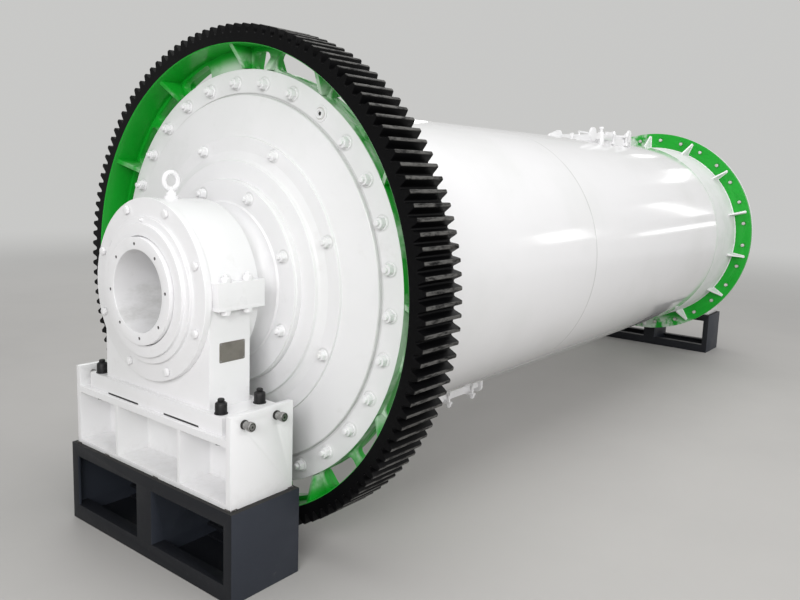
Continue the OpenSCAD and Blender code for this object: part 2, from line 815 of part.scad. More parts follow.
// Cover plate with a handle, and two clamp bars with their studs and nuts
module manhole_cover() {
    top = manhole_out + manhole_cover_t;
    color(white_paint) {
        translate([-end_plate_t / 2, 0, manhole_out + manhole_cover_t / 2])
            rounded_block(manhole_l - end_plate_t - 26, manhole_w - 30, manhole_cover_t,
                manhole_corner - 5);
        for (s = [-1, 1]) {
            translate([s * clamp_x - clamp_w / 2, -clamp_bar_y, top])
                cube([clamp_w, 2 * clamp_bar_y, clamp_h]);
            for (t = [-1, 1])
                translate([s * clamp_x, t * clamp_y, 0]) {
                    translate([0, 0, clamp_seat])
                        cylinder(d = screw_d, h = top + clamp_h + screw_proud - clamp_seat);
                    translate([0, 0, top + clamp_h]) upright_nut(screw_d, 0.9 * screw_d);
                }
        }
        for (s = [-1, 1])
            translate([handle_x + s * handle_l / 2, 0, top]) cylinder(d = handle_d, h = handle_h);
        translate([handle_x, 0, top + handle_h]) rotate([0, 90, 0])
            cylinder(d = handle_d, h = handle_l + handle_d, center = true);
    }
}

near_end(0) stand();  // near_stand
far_end(0) stand();  // far_stand
near_end(0) bearing_base();  // near_bearing_base
far_end(0) bearing_base();  // far_bearing_base
near_end(0) shims();  // near_shims
far_end(0) shims();  // far_shims
near_end(axis_h) housing();  // near_housing
far_end(axis_h) housing();  // far_housing
near_end(axis_h) cap();  // near_cap
far_end(axis_h) cap();  // far_cap
near_end(axis_h) outer_cover();  // near_outer_cover
far_end(axis_h) outer_cover();  // far_outer_cover
near_end(axis_h) inner_cover();  // near_inner_cover
far_end(axis_h) inner_cover();  // far_inner_cover
near_end(axis_h) bearing();  // near_bearing
far_end(axis_h) bearing();  // far_bearing
near_end(0) anchor_bolts();  // near_anchor_bolts
far_end(0) anchor_bolts();  // far_anchor_bolts
near_end(0) jack_screws();  // near_jack_screws
far_end(0) jack_screws();  // far_jack_screws
near_end(axis_h) cap_bolts();  // near_cap_bolts
far_end(axis_h) cap_bolts();  // far_cap_bolts
near_end(axis_h) eye_bolt();  // near_eye_bolt
far_end(axis_h) eye_bolt();  // far_eye_bolt
near_end(axis_h) name_plate();  // nameplate
on_axis() shell();
on_axis() near_shell_flange();
on_axis() far_shell_flange();
on_axis() flange_gussets();
near_end(axis_h) near_head();
far_end(axis_h) far_head();
near_end(axis_h) trunnion();  // near_trunnion
far_end(axis_h) trunnion();  // far_trunnion
on_axis() gear_rim();
on_axis() gear_web();
on_axis() gear_ribs();
on_axis() near_flange_bolts();
on_axis() far_flange_bolts();
near_end(axis_h) head_bolts();  // near_head_bolts
far_end(axis_h) head_bolts();  // far_head_bolts
on_top() manhole_frame();  // top_manhole_frame
on_top() manhole_cover();  // top_manhole_cover
underneath() manhole_frame();  // bottom_manhole_frame
underneath() manhole_cover();  // bottom_manhole_cover
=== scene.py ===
import json
import math
import random

import bmesh
import bpy
from mathutils import Matrix, Vector


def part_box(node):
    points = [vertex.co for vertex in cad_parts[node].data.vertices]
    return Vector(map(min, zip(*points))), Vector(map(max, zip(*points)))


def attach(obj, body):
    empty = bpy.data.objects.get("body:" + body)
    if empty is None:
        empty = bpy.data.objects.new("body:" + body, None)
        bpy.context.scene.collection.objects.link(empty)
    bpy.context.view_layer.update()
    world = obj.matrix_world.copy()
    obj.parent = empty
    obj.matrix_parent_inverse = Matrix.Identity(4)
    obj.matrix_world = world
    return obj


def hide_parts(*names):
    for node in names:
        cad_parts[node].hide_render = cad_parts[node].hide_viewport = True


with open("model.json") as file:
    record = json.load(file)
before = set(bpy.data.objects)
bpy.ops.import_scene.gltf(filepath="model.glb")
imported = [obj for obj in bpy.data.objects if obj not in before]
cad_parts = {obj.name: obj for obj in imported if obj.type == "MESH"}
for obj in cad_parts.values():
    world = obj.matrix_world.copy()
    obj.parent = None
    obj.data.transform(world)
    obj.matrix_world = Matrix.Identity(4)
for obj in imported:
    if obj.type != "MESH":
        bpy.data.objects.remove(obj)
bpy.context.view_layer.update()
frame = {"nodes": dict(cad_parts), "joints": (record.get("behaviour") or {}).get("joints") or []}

random.seed(7)
MM = 0.001
NODES = frame["nodes"]

# Places read from the frame, in millimetres. u runs outward from each head flange.
AXIS = frame["joints"][0]["pos_m"][2] / MM
HUB_SEAT = 70
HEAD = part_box("far_head")[1].x / MM - HUB_SEAT
FLANGE_R = (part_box("far_shell_flange")[1].z / MM) - AXIS
FLANGE_T = (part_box("far_shell_flange")[1].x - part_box("far_shell_flange")[0].x) / MM
SHELL_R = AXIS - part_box("shell")[0].z / MM
SHELL_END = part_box("shell")[1].x / MM
TIP_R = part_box("gear_rim")[1].z / MM - AXIS
GEAR_OUT = -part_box("gear_rim")[0].x / MM
GEAR_IN = -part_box("gear_rim")[1].x / MM
RIM_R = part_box("gear_web")[1].z / MM - AXIS
WEB_IN = -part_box("gear_web")[1].x / MM
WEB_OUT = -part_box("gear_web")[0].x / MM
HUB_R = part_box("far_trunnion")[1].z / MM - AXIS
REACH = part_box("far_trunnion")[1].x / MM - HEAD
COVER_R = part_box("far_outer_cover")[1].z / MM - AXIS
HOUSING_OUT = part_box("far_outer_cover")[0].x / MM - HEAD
COVER_FACE = HOUSING_OUT + 28
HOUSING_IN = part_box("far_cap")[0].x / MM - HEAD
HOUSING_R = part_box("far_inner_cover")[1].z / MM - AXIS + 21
BORE_R = 160
HUB_FACE = 104
HUB_BOLT_R = HUB_R - 44
LINER_SEAT = 42
LINER_BOLT_R = 580
END_HOLE_R = 182
# counts on the drum, and the angles of the first ones in degrees
DRUM_TURN = 4
NEAR_STUDS, NEAR_FIRST = 30, DRUM_TURN + 5
GUSSETS, GUSSET_FIRST = 14, DRUM_TURN - 14
FAR_STUDS, FAR_FIRST = 2 * GUSSETS, GUSSET_FIRST + 90 / GUSSETS
HEAD_BOLTS, HEAD_FIRST = 8, DRUM_TURN + 17
BARE_STUD = 4
FLANGE_BOLT_R = FLANGE_R - 57
FLANGE_BOLT_D = 27
HEAD_BOLT_D = 24
ANCHOR_D = 26
MANHOLE_L = 500
SEAMS = (-462, 1848)
TEETH = 130
MODULE = 2 * TIP_R / (TEETH + 2)


# Camera
def make_camera():
    yaw, pitch, roll = (math.radians(a) for a in (51.697, -8.179, 1.903))
    look = Vector((math.sin(yaw) * math.cos(pitch), math.cos(yaw) * math.cos(pitch), math.sin(pitch)))
    level = Vector((math.cos(yaw), -math.sin(yaw), 0))
    up = level.cross(look)
    right = math.cos(roll) * level + math.sin(roll) * up
    top = math.cos(roll) * up - math.sin(roll) * level
    cam = bpy.data.objects.new("camera", bpy.data.cameras.new("camera"))
    bpy.context.scene.collection.objects.link(cam)
    m = Matrix((right, top, -look)).transposed().to_4x4()
    m.translation = Vector((-4.58285, -2.55985, 1.57888))
    cam.matrix_world = m
    cam.data.sensor_width = 36
    cam.data.lens = 764.75 / 800 * 36
    cam.data.shift_x = 0.0039
    cam.data.shift_y = -0.02605
    cam.data.clip_end = 200
    bpy.context.scene.camera = cam


make_camera()
bpy.context.scene.view_settings.view_transform = "Standard"


# Materials
class Paint:
    """A node material whose colour, roughness and bump are built from object coordinates."""

    def __init__(self, name, colour, rough, metallic=0.0, coat=0.0, coat_rough=0.1, specular=0.5):
        self.mat = bpy.data.materials.new(name)
        self.mat.use_nodes = True
        self.tree = self.mat.node_tree
        self.bsdf = self.tree.nodes["Principled BSDF"]
        self.bsdf.inputs["Metallic"].default_value = metallic
        self.bsdf.inputs["Coat Weight"].default_value = coat
        self.bsdf.inputs["Coat Roughness"].default_value = coat_rough
        self.bsdf.inputs["IOR"].default_value = 1.5
        self.bsdf.inputs["Specular IOR Level"].default_value = specular
        self.coords = self.node("ShaderNodeTexCoord").outputs["Object"]
        self.colour = self.rgb(colour)
        self.rough = self.value(rough)
        self.height = None
        self.coat = coat
        self.matt = None

    def node(self, kind, **values):
        n = self.tree.nodes.new(kind)
        for k, v in values.items():
            setattr(n, k, v)
        return n

    def link(self, a, b):
        self.tree.links.new(a, b)

    def rgb(self, c):
        n = self.node("ShaderNodeRGB")
        n.outputs[0].default_value = (*c, 1)
        return n.outputs[0]

    def value(self, v):
        n = self.node("ShaderNodeValue")
        n.outputs[0].default_value = v
        return n.outputs[0]

    def math(self, op, a, b=None, clamp=False):
        n = self.node("ShaderNodeMath", operation=op, use_clamp=clamp)
        for i, x in enumerate((a, b)):
            if x is None:
                continue
            if isinstance(x, (int, float)):
                n.inputs[i].default_value = x
            else:
                self.link(x, n.inputs[i])
        return n.outputs[0]

    def times(self, a, b):
        return self.math("MULTIPLY", a, b)

    def either(self, a, b):
        return self.math("MAXIMUM", a, b)

    def length(self, a, b):
        return self.math("SQRT", self.math("ADD", self.times(a, a), self.times(b, b)))

    def noise(self, scale, detail=3.0, rough=0.5, stretch=None):
        n = self.node("ShaderNodeTexNoise")
        n.inputs["Scale"].default_value = scale
        n.inputs["Detail"].default_value = detail
        n.inputs["Roughness"].default_value = rough
        source = self.coords
        if stretch:
            m = self.node("ShaderNodeMapping")
            m.inputs["Scale"].default_value = stretch
            self.link(self.coords, m.inputs["Vector"])
            source = m.outputs["Vector"]
        self.link(source, n.inputs["Vector"])
        return n.outputs["Fac"]

    def band(self, x, low, high):
        """0 below low, 1 above high, smooth between. Low may lie above high."""
        n = self.node("ShaderNodeMapRange", interpolation_type="SMOOTHSTEP")
        for k, v in (("From Min", low), ("From Max", high), ("To Min", 0), ("To Max", 1)):
            n.inputs[k].default_value = v
        self.link(x, n.inputs["Value"])
        return n.outputs["Result"]

    def window(self, x, rise, fall):
        """1 between two places, each given as (start, end) of its band."""
        return self.times(self.band(x, *rise), self.band(x, *fall))

    def axis(self, letter):
        s = self.node("ShaderNodeSeparateXYZ")
        self.link(self.coords, s.inputs[0])
        return s.outputs[letter]

    def rise(self):
        """Height above the mill axis."""
        return self.math("SUBTRACT", self.axis("Z"), AXIS * MM)

    def radius(self):
        """Distance from the mill axis."""
        return self.length(self.axis("Y"), self.rise())

    def rings(self, n, first, r, inner, outer):
        """Ring round each bolt of a circle, used for dirt and painted shade; angles as in around(), radii in
        millimetres.
        """
        y = self.times(self.axis("Y"), -1.0)
        turn = self.math("ARCTAN2", self.rise(), y)
        step = 2 * math.pi / n
        turn = self.math("ADD", turn, 4 * math.pi - math.radians(first) + step / 2)
        turn = self.math("SUBTRACT", self.math("MODULO", turn, step), step / 2)
        along = self.times(turn, r * MM)
        off = self.math("SUBTRACT", self.radius(), r * MM)
        away = self.length(along, off)
        return self.band(away, outer * MM, inner * MM)

    def mix(self, mask, colour, amount=1.0):
        """Lays a colour over the paint where the mask is high."""
        n = self.node("ShaderNodeMix", data_type="RGBA")
        self.link(self.times(mask, amount), n.inputs["Factor"])
        self.link(self.colour, n.inputs["A"])
        n.inputs["B"].default_value = (*colour, 1)
        self.colour = n.outputs["Result"]
        return self

    def roughen(self, mask, amount):
        self.rough = self.math("ADD", self.rough, self.times(mask, amount), clamp=True)
        return self

    def bump(self, height, amount):
        h = self.times(height, amount)
        self.height = h if self.height is None else self.math("ADD", self.height, h)
        return self

    def done(self, distance=0.001):
        self.link(self.colour, self.bsdf.inputs["Base Color"])
        self.link(self.rough, self.bsdf.inputs["Roughness"])
        if self.matt is not None:
            weight = self.times(self.math("SUBTRACT", 1.0, self.matt), self.coat)
            self.link(weight, self.bsdf.inputs["Coat Weight"])
        if self.height is not None:
            b = self.node("ShaderNodeBump")
            b.inputs["Distance"].default_value = distance
            self.link(self.height, b.inputs["Height"])
            self.link(b.outputs["Normal"], self.bsdf.inputs["Normal"])
        return self.mat


WHITE = (0.835, 0.83, 0.84)
DUST = (0.50, 0.48, 0.44)
GREEN = (0.006, 0.350, 0.022)


def white_paint(name, rough, coat, dirt=0.25, peel=0.5):
    p = Paint(name, WHITE, rough, coat=coat, coat_rough=0.06)
    p.mix(p.band(p.noise(1.3, 4), 0.45, 0.75), (0.755, 0.760, 0.755), 0.7)
    p.mix(p.band(p.noise(9, 6, 0.65), 0.58, 0.78), DUST, dirt)
    p.roughen(p.noise(5, 4), 0.12)
    p.bump(p.noise(260, 2), 0.18 * peel)
    p.bump(p.noise(30, 3), 0.9 * peel)
    return p


def shim_gap_shade(p):
    """Painted shade: the open gaps beside the shim packs are painted as two dark slots under the housing
    foot.
    """
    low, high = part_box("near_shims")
    y = p.math("ABSOLUTE", p.axis("Y"))
    span = p.window(y, (high.y * 0.28, high.y * 0.28 + 0.003), (high.y + 0.001, high.y - 0.003))
    z = p.axis("Z")
    level = p.window(z, (low.z - 0.003, low.z - 0.001), (high.z + 0.0040, high.z + 0.0026))
    x = p.math("ABSOLUTE", p.axis("X"))
    front = p.window(x, (-low.x - 0.02, -low.x - 0.012), (-low.x + 0.0036, -low.x + 0.0026))
    p.mix(p.times(p.times(span, level), front), (0.012, 0.012, 0.013))


def mottled(name, colour, gloss, metallic, scale, edges, spots, amount=0.6, rough=0.7):
    """A plain surface with spots of a second colour."""
    p = Paint(name, colour, gloss, metallic=metallic)
    return p.mix(p.band(p.noise(scale, 5, rough), *edges), spots, amount)


def make_materials():
    made = {}
    # glossy shell, its last course beside each flange matt
    p = white_paint("paint_shell", 0.07, 0.6, 0.06, 0.2)
    x = p.axis("X")
    near_end = p.band(x, -2.20, -2.34)
    far_end = p.band(x, SEAMS[1] * MM, (SEAMS[1] + 8) * MM)
    p.matt = p.either(near_end, far_end)
    p.roughen(p.matt, 0.5)
    p.mix(p.matt, (0.72, 0.735, 0.725), 0.8)
    p.mix(p.times(p.matt, p.band(p.noise(7, 5, 0.7), 0.40, 0.65)), (0.62, 0.66, 0.625), 0.5)
    # a thin grey line, in patches, along the first weld seam
    seam = p.math("ABSOLUTE", p.math("SUBTRACT", x, SEAMS[0] * MM))
    dirt = p.times(p.band(seam, 0.0065, 0.004), p.band(p.noise(6, 4, 0.6), 0.25, 0.55))
    p.mix(dirt, (0.40, 0.41, 0.39), 0.5)
    made["shell"] = p.done()
    # sprayed castings and plates
    p = white_paint("paint_head", 0.30, 0.12, 0.16)
    p.mix(p.band(p.noise(2.2, 5, 0.6), 0.5, 0.72), (0.70, 0.71, 0.70), 0.4)
    # grey rings round the bolts: partly dirt, partly painted shade round the feet of the washers
    stain_and_shade = p.band(p.noise(16, 4, 0.6), 0.30, 0.60)
    near = p.rings(NEAR_STUDS, NEAR_FIRST, FLANGE_BOLT_R, 27, 36)
    far = p.rings(FAR_STUDS, FAR_FIRST, FLANGE_BOLT_R, 27, 36)
    near = p.times(near, p.band(p.axis("X"), 0.1, -0.1))
    far = p.times(far, p.band(p.axis("X"), -0.1, 0.1))
    hub, liner = (p.rings(HEAD_BOLTS, HEAD_FIRST, r, 25, 34) for r in (HUB_BOLT_R, LINER_BOLT_R))
    bolts = p.either(p.math("ADD", near, far), p.either(hub, liner))
    p.mix(p.times(bolts, stain_and_shade), (0.42, 0.43, 0.41), 0.45)
    # painted shade: a grey line over the groove ring round the head
    p.mix(p.window(p.radius(), (0.776, 0.781), (0.794, 0.789)), (0.40, 0.41, 0.39), 0.35)
    # the end ring's tapped holes are bare inside, painted nearly black: bare metal with painted shade in the
    # holes
    p.mix(p.rings(8, DRUM_TURN, END_HOLE_R, 5.6, 7.0), (0.09, 0.088, 0.085), 0.9)
    made["head"] = p.done()
    p = white_paint("paint_casting", 0.24, 0.2, 0.20, 0.8)
    shim_gap_shade(p)
    made["casting"] = p.done()
    p = white_paint("paint_plate", 0.24, 0.2, 0.06, 0.3)
    p.mix(p.times(p.band(p.axis("Z"), 0.44, 0.36), p.band(p.noise(34, 6, 0.7), 0.40, 0.70)), DUST, 0.16)
    shim_gap_shade(p)
    made["plate"] = p.done()
    p = white_paint("paint_fastener", 0.30, 0.15, 0.45, 0.8)
    made["fastener"] = p.done()
    p = white_paint("paint_bore", 0.34, 0.1, 0.5, 0.8)
    p.mix(p.band(p.noise(6, 5, 0.7, (0.5, 1, 1)), 0.45, 0.7), (0.52, 0.52, 0.50), 0.6)
    made["bore"] = p.done()
    # green, with white spray drifted over it beside the near head
    for name in ("green", "green_drift"):
        p = Paint("paint_" + name, GREEN, 0.26, coat=0.15, coat_rough=0.1, specular=0.3)
        p.mix(p.band(p.noise(3, 4), 0.4, 0.7), (0.010, 0.40, 0.030), 0.6)
        p.mix(p.band(p.noise(18, 5, 0.7), 0.6, 0.8), (0.008, 0.16, 0.02), 0.5)
        p.roughen(p.noise(7, 4), 0.15)
        p.bump(p.noise(240, 2), 0.2)
        p.bump(p.noise(40, 3), 0.8)
        if name == "green":
            # spray drifted onto the drum's side of the far flange
            inside = p.window(p.axis("X"), (2.2, 2.3), (2.376, 2.370))
            z = p.axis("Z")
            crown = p.times(p.band(p.axis("Y"), 0.02, 0.12), p.band(z, (AXIS + 640) * MM, (AXIS + 720) * MM))
            under = p.band(z, (AXIS - 730) * MM, (AXIS - 800) * MM)
            inside = p.times(inside, p.band(p.noise(9, 4, 0.6), 0.38, 0.56))
            mask = p.times(p.either(crown, under), inside)
            p.mix(mask, (0.66, 0.72, 0.66), 0.8)
        else:
            r = p.radius()
            close = p.band(r, 0.965, 0.895)
            outside = p.band(p.axis("X"), -2.372, -2.386)
            cloud = p.band(p.noise(5.5, 4, 0.6), 0.40, 0.62)
            # thickest over the upper left, where the gun passed closest
            z = p.rise()
            lean = p.math("SUBTRACT", p.times(z, 0.98), p.times(p.axis("Y"), 0.17))
            top = p.times(p.band(lean, 0.74, 0.86), p.band(p.noise(9, 5, 0.65), 0.30, 0.55))
            mask = p.times(p.times(close, p.either(cloud, top)), outside)
            p.mix(mask, (0.66, 0.74, 0.66), 0.85)
            # painted highlight: the free edges of the front ribs painted pale green on their upper right,
            # where they catch the light
            edge = p.math("ADD", p.axis("X"), p.times(r, 0.841))
            right = p.math("SUBTRACT", p.times(z, 0.82), p.times(p.axis("Y"), 0.57))
            rib_edge_highlight = p.times(p.band(edge, -1.6655, -1.6685), p.band(p.noise(14, 4, 0.6), 0.30, 0.50))
            p.mix(p.times(rib_edge_highlight, p.band(right, 0.72, 0.86)), (0.62, 0.74, 0.62), 0.6)
            p.roughen(mask, 0.3)
        made[name] = p.done()
    # black gear paint with grease; the crests lighter, partly wear and partly painted highlight
    p = Paint("paint_gear", (0.0018, 0.0018, 0.0021), 0.34, specular=0.09)
    streak = p.noise(26, 5, 0.7, (0.16, 1, 1))
    p.mix(p.band(streak, 0.56, 0.78), (0.007, 0.007, 0.008), 0.6)
    # painted highlight and wear: lighter streaks on the tooth crests
    crest = p.band(p.radius(), (TIP_R - 3.0) * MM, (TIP_R - 0.6) * MM)
    p.mix(p.times(crest, p.band(p.noise(60, 6, 0.75, (0.3, 1, 1)), 0.36, 0.60)), (0.14, 0.137, 0.13), 0.7)
    p.roughen(p.noise(12, 4), 0.22)
    p.bump(p.noise(150, 4, 0.6, (0.2, 1, 1)), 0.35)
    made["gear"] = p.done()
    # dark grey stand; its faces looking across the mill painted lighter, as painted light
    p = Paint("paint_stand", (0.0085, 0.0095, 0.0125), 0.40, specular=0.28)
    facing = p.node("ShaderNodeSeparateXYZ")
    p.link(p.node("ShaderNodeTexCoord").outputs["Normal"], facing.inputs[0])
    # painted light: faces looking along ±Y get a lighter grey than the others
    sides = p.band(p.math("ABSOLUTE", facing.outputs["Y"]), 0.6, 0.8)
    p.mix(sides, (0.024, 0.028, 0.038))
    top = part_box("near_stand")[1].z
    ledge = p.times(p.band(facing.outputs["Z"], 0.7, 0.9), p.band(p.axis("Z"), top - 0.02, top - 0.01))
    p.mix(ledge, (0.040, 0.039, 0.037), 0.7)
    p.roughen(ledge, 0.4)
    # painted light: a lighter mottle on the same side faces
    p.mix(p.times(sides, p.band(p.noise(2.5, 4), 0.4, 0.7)), (0.033, 0.038, 0.050), 0.7)
    splash = p.times(p.band(p.noise(40, 6, 0.75), 0.60, 0.76), p.band(p.axis("Z"), 0.25, 0.0))
    p.mix(splash, (0.11, 0.105, 0.10), 0.4)
    p.roughen(p.noise(9, 4), 0.2)
    p.bump(p.noise(180, 3), 0.3)
    p.bump(p.noise(22, 3), 0.8)
    made["stand"] = p.done()
    # blackened bolts, machined steel, plate, weld metal
    p = mottled("black_oxide", (0.012, 0.012, 0.013), 0.36, 0.4, 90, (0.5, 0.75), (0.05, 0.047, 0.044))
    made["black"] = p.roughen(p.noise(40, 4), 0.2).bump(p.noise(400, 3), 0.3).done()
    p = mottled("machined_steel", (0.36, 0.355, 0.35), 0.26, 1.0, 70, (0.5, 0.72), (0.16, 0.145, 0.13))
    made["steel"] = p.roughen(p.noise(60, 5), 0.25).bump(p.noise(500, 2, 0.5, (1, 1, 0.1)), 0.3).done()
    # near-black metal, also used as painted shade in the recesses, grooves and holes of bolt ends
    p = mottled("dark_metal_and_hole_shade", (0.03, 0.029, 0.028), 0.5, 0.6, 120, (0.5, 0.7), (0.10, 0.09, 0.08))
    made["dark_and_hole_shade"] = p.done()
    p = mottled("plate_metal", (0.30, 0.275, 0.25), 0.36, 0.85, 18, (0.42, 0.7), (0.22, 0.20, 0.185),
                rough=0.6)
    made["plate_metal"] = p.roughen(p.noise(60, 4), 0.2).bump(p.noise(500, 2), 0.2).done()
    p = mottled("primer", (0.50, 0.46, 0.45), 0.45, 0.0, 30, (0.40, 0.60), (0.66, 0.66, 0.64), 0.8)
    made["primer"] = p.bump(p.noise(300, 3), 0.4).done()
    p = mottled("weld_burn", (0.07, 0.065, 0.062), 0.45, 0.5, 120, (0.45, 0.7), (0.30, 0.28, 0.27))
    made["burn"] = p.bump(p.noise(260, 3), 1.0).done()
    return made


M = make_materials()


# Mesh helpers, all lengths in millimetres
class Mesh:
    """Collects points and faces, then becomes one object."""

    def __init__(self):
        self.points, self.faces, self.kinds = [], [], []

    def add(self, points, faces, matrix=None, kind=0):
        base = len(self.points)
        for p in points:
            v = Vector(p)
            self.points.append(matrix @ v if matrix is not None else v)
        for f in faces:
            self.faces.append([base + i for i in f])
            self.kinds.append(kind)
        return self

    def make(self, name, body, looks, stands_for=(), sharp=32, bevel=None):
        """looks names one material or several; the first one gives the slot."""
        looks = (looks,) if isinstance(looks, str) else looks
        mesh = self.data(name, bevel)
        for look in looks:
            mesh.materials.append(M[look])
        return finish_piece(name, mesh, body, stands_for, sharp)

    def data(self, name, bevel=None):
        """The faces as a Blender mesh with its normals outward."""
        mesh = bpy.data.meshes.new(name)
        mesh.from_pydata([p * MM for p in self.points], [], self.faces)
        mesh.polygons.foreach_set("material_index", self.kinds)
        bm = bmesh.new()
        bm.from_mesh(mesh)
        bmesh.ops.recalc_face_normals(bm, faces=bm.faces)
        if bevel:
            round_edges(bm, *bevel)
        bm.to_mesh(mesh)
        bm.free()
        return mesh


def smooth(mesh, sharp):
    mesh.shade_smooth()
    mesh.set_sharp_from_angle(angle=math.radians(sharp))


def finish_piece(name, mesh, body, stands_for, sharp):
    smooth(mesh, sharp)
    obj = bpy.data.objects.new(name, mesh)
    bpy.context.scene.collection.objects.link(obj)
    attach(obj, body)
    if stands_for:
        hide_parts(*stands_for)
    return obj


def round_edges(bm, width, angle=40, segments=2):
    edges = [e for e in bm.edges if len(e.link_faces) == 2 and e.calc_face_angle(0) > math.radians(angle)]
    bmesh.ops.bevel(bm, geom=edges, offset=width * MM, offset_type="OFFSET", segments=segments, profile=0.6,
                    affect="EDGES", clamp_overlap=True)


def dress(node, name, body, look, width=1.5, angle=40, segments=2):
    """The CAD node's own form with its hard edges rounded, standing for the node."""
    bm = bmesh.new()
    bm.from_mesh(NODES[node].data)
    bmesh.ops.remove_doubles(bm, verts=bm.verts, dist=0.02 * MM)
    bmesh.ops.dissolve_limit(bm, angle_limit=math.radians(0.4), verts=bm.verts, edges=bm.edges)
    bmesh.ops.recalc_face_normals(bm, faces=bm.faces)
    round_edges(bm, width, angle, segments)
    mesh = bpy.data.meshes.new(name)
    bm.to_mesh(mesh)
    bm.free()
    for a in list(mesh.attributes):
        if a.name == "custom_normal":
            mesh.attributes.remove(a)
    mesh.materials.clear()
    mesh.materials.append(M[look])
    mesh.polygons.foreach_set("material_index", [0] * len(mesh.polygons))
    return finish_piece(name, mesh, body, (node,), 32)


def rounded(points, radii):
    """A closed [u, r] outline with each corner rounded by its own radius, 0 for a sharp one."""
    steps = 3
    n = len(points)
    out = []
    for i in range(n):
        p = Vector(points[i])
        a, b = Vector(points[i - 1]) - p, Vector(points[(i + 1) % n]) - p
        turn = a.angle(b)
        if radii[i] == 0 or turn > math.radians(172):
            out.append(p)
            continue
        cut = min(radii[i] / math.tan(turn / 2), 0.45 * a.length, 0.45 * b.length)
        start, end = p + a.normalized() * cut, p + b.normalized() * cut
        for k in range(steps + 1):
            t = k / steps
            out.append((1 - t) ** 2 * start + 2 * t * (1 - t) * p + t * t * end)
    return [tuple(p) for p in out]


def quads(rows, columns, wrap_rows=True, wrap_columns=True):
    """Faces of a grid of points stored row by row. Either way may close on itself."""
    faces = []
    for i in range(rows if wrap_rows else rows - 1):
        for k in range(columns if wrap_columns else columns - 1):
            a, b = i * columns, (i + 1) % rows * columns
            k2 = (k + 1) % columns
            faces.append((a + k, a + k2, b + k2, b + k))
    return faces


def turned(outline, sides):
    """An outline of (x, r) repeated round X."""
    angles = [2 * math.pi * k / sides for k in range(sides)]
    return [(x, -r * math.cos(a), r * math.sin(a)) for a in angles for x, r in outline]


def lathe_data(outline, sides):
    """Points and faces turned about X from a closed outline of (x, r)."""
    return turned(outline, sides), quads(sides, len(outline))


def disc_stack(outline, sides):
    """A turned solid with flat ends, from an outline of (x, r)."""
    n = len(outline)
    faces = quads(sides, n, wrap_columns=False)
    faces.append(tuple(k * n for k in range(sides)))
    faces.append(tuple(k * n + n - 1 for k in range(sides))[::-1])
    return turned(outline, sides), faces


ON_AXIS = Matrix.Translation((0, 0, AXIS))


def end_matrix(side):
    """From u outward of a head flange on the axis to the frame. side is -1 at the gear end."""
    return Matrix.Translation((side * HEAD, 0, AXIS)) @ Matrix.Diagonal((side, 1, 1, 1))


def floor_matrix(side):
    return Matrix.Translation((side * HEAD, 0, 0)) @ Matrix.Diagonal((side, 1, 1, 1))


def spot(angle, r):
    """A place at an angle counted from -Y towards +Z. A piece's own -Y then points outward."""
    return Matrix.Rotation(-math.radians(angle), 4, "X") @ Matrix.Translation((0, -r, 0))


def around(n, first, r):
    return [spot(first + i * 360 / n, r) for i in range(n)]


def hexagon_data(x, across, h):
    """Hexagonal nut along +X with its corners chamfered on the outer face."""
    sides, flat = 24, across / 2
    points = []
    for ring in range(4):
        for k in range(sides):
            a = 2 * math.pi * k / sides
            side = flat / math.cos((a + math.pi / 6) % (math.pi / 3) - math.pi / 6)
            px, r = (
                (x, side),
                (x + h * 0.87 - (side - flat) * 0.9, side),
                (x + h - 0.4, min(side, flat * 0.985)),
                (x + h, flat * 0.93))[ring]
            points.append((px, -r * math.cos(a), r * math.sin(a)))
    faces = quads(4, sides, wrap_rows=False)
    faces.append(tuple(3 * sides + k for k in range(sides)))
    return points, faces


def washer_outline(x, r, t):
    return [(x, r), (x + t * 0.7, r), (x + t, r - t * 0.3)]


def stud_outline(x, r, length, pitch=3.0):
    """Threaded end: fine ridges, then a domed tip."""
    out = [(x, r)]
    p = x
    while p < x + length - 5:
        out += [(p + pitch * 0.5, r - 0.9), (p + pitch, r)]
        p += pitch
    out += [(x + length - 2.5, r - 0.6), (x + length - 0.6, r * 0.82), (x + length, r * 0.45)]
    return out


def bolt(m, matrix, d, across=1.55, pad=0.95, thread=0.45):
    """Washer, nut and stud end on a face looking along +X."""
    t, nut, length = 0.15 * d, 0.85 * d, 1.5 * d
    m.add(*disc_stack(washer_outline(0, pad * d, t), 28), matrix)
    m.add(*hexagon_data(t, across * d, nut), matrix)
    m.add(*disc_stack(stud_outline(t + nut - 1, thread * d, length - t - nut + 1), 20), matrix)


def bead(m, path, size, matrix=None, closed=False, step=9.0):
    """Weld bead: a rippled tube along a path of points."""
    sides = 6
    pts = [Vector(p) for p in path]
    if closed:
        pts.append(pts[0])
    fine = []
    for a, b in zip(pts, pts[1:]):
        n = max(1, round((b - a).length / step))
        fine += [a.lerp(b, k / n) for k in range(n)]
    if not closed:
        fine.append(pts[-1])
    n = len(fine)
    points = []
    for i, p in enumerate(fine):
        ahead = fine[(i + 1) % n] if closed or i < n - 1 else p
        back = fine[i - 1] if closed or i > 0 else p
        d = (ahead - back).normalized()
        side = d.cross(Vector((0.31, 0.57, 0.76))).normalized()
        up = d.cross(side)
        r = size * (0.88 + 0.2 * (i % 2) + random.uniform(-0.07, 0.07))
        for k in range(sides):
            a = 2 * math.pi * k / sides
            points.append(p + r * (math.cos(a) * side + math.sin(a) * up))
    faces = quads(n, sides, wrap_rows=closed)
    if not closed:
        faces.append(tuple(range(sides))[::-1])
        faces.append(tuple((n - 1) * sides + k for k in range(sides)))
    m.add(points, faces, matrix)


def plate_data(outline, y0, y1):
    """An upright plate with an outline of (x, z) between two places across the mill."""
    n = len(outline)
    points = [(x, y, z) for y in (y0, y1) for x, z in outline]
    faces = [tuple(range(n)), tuple(range(n, 2 * n))[::-1]]
    faces += [(k, (k + 1) % n, n + (k + 1) % n, n + k) for k in range(n)]
    return points, faces


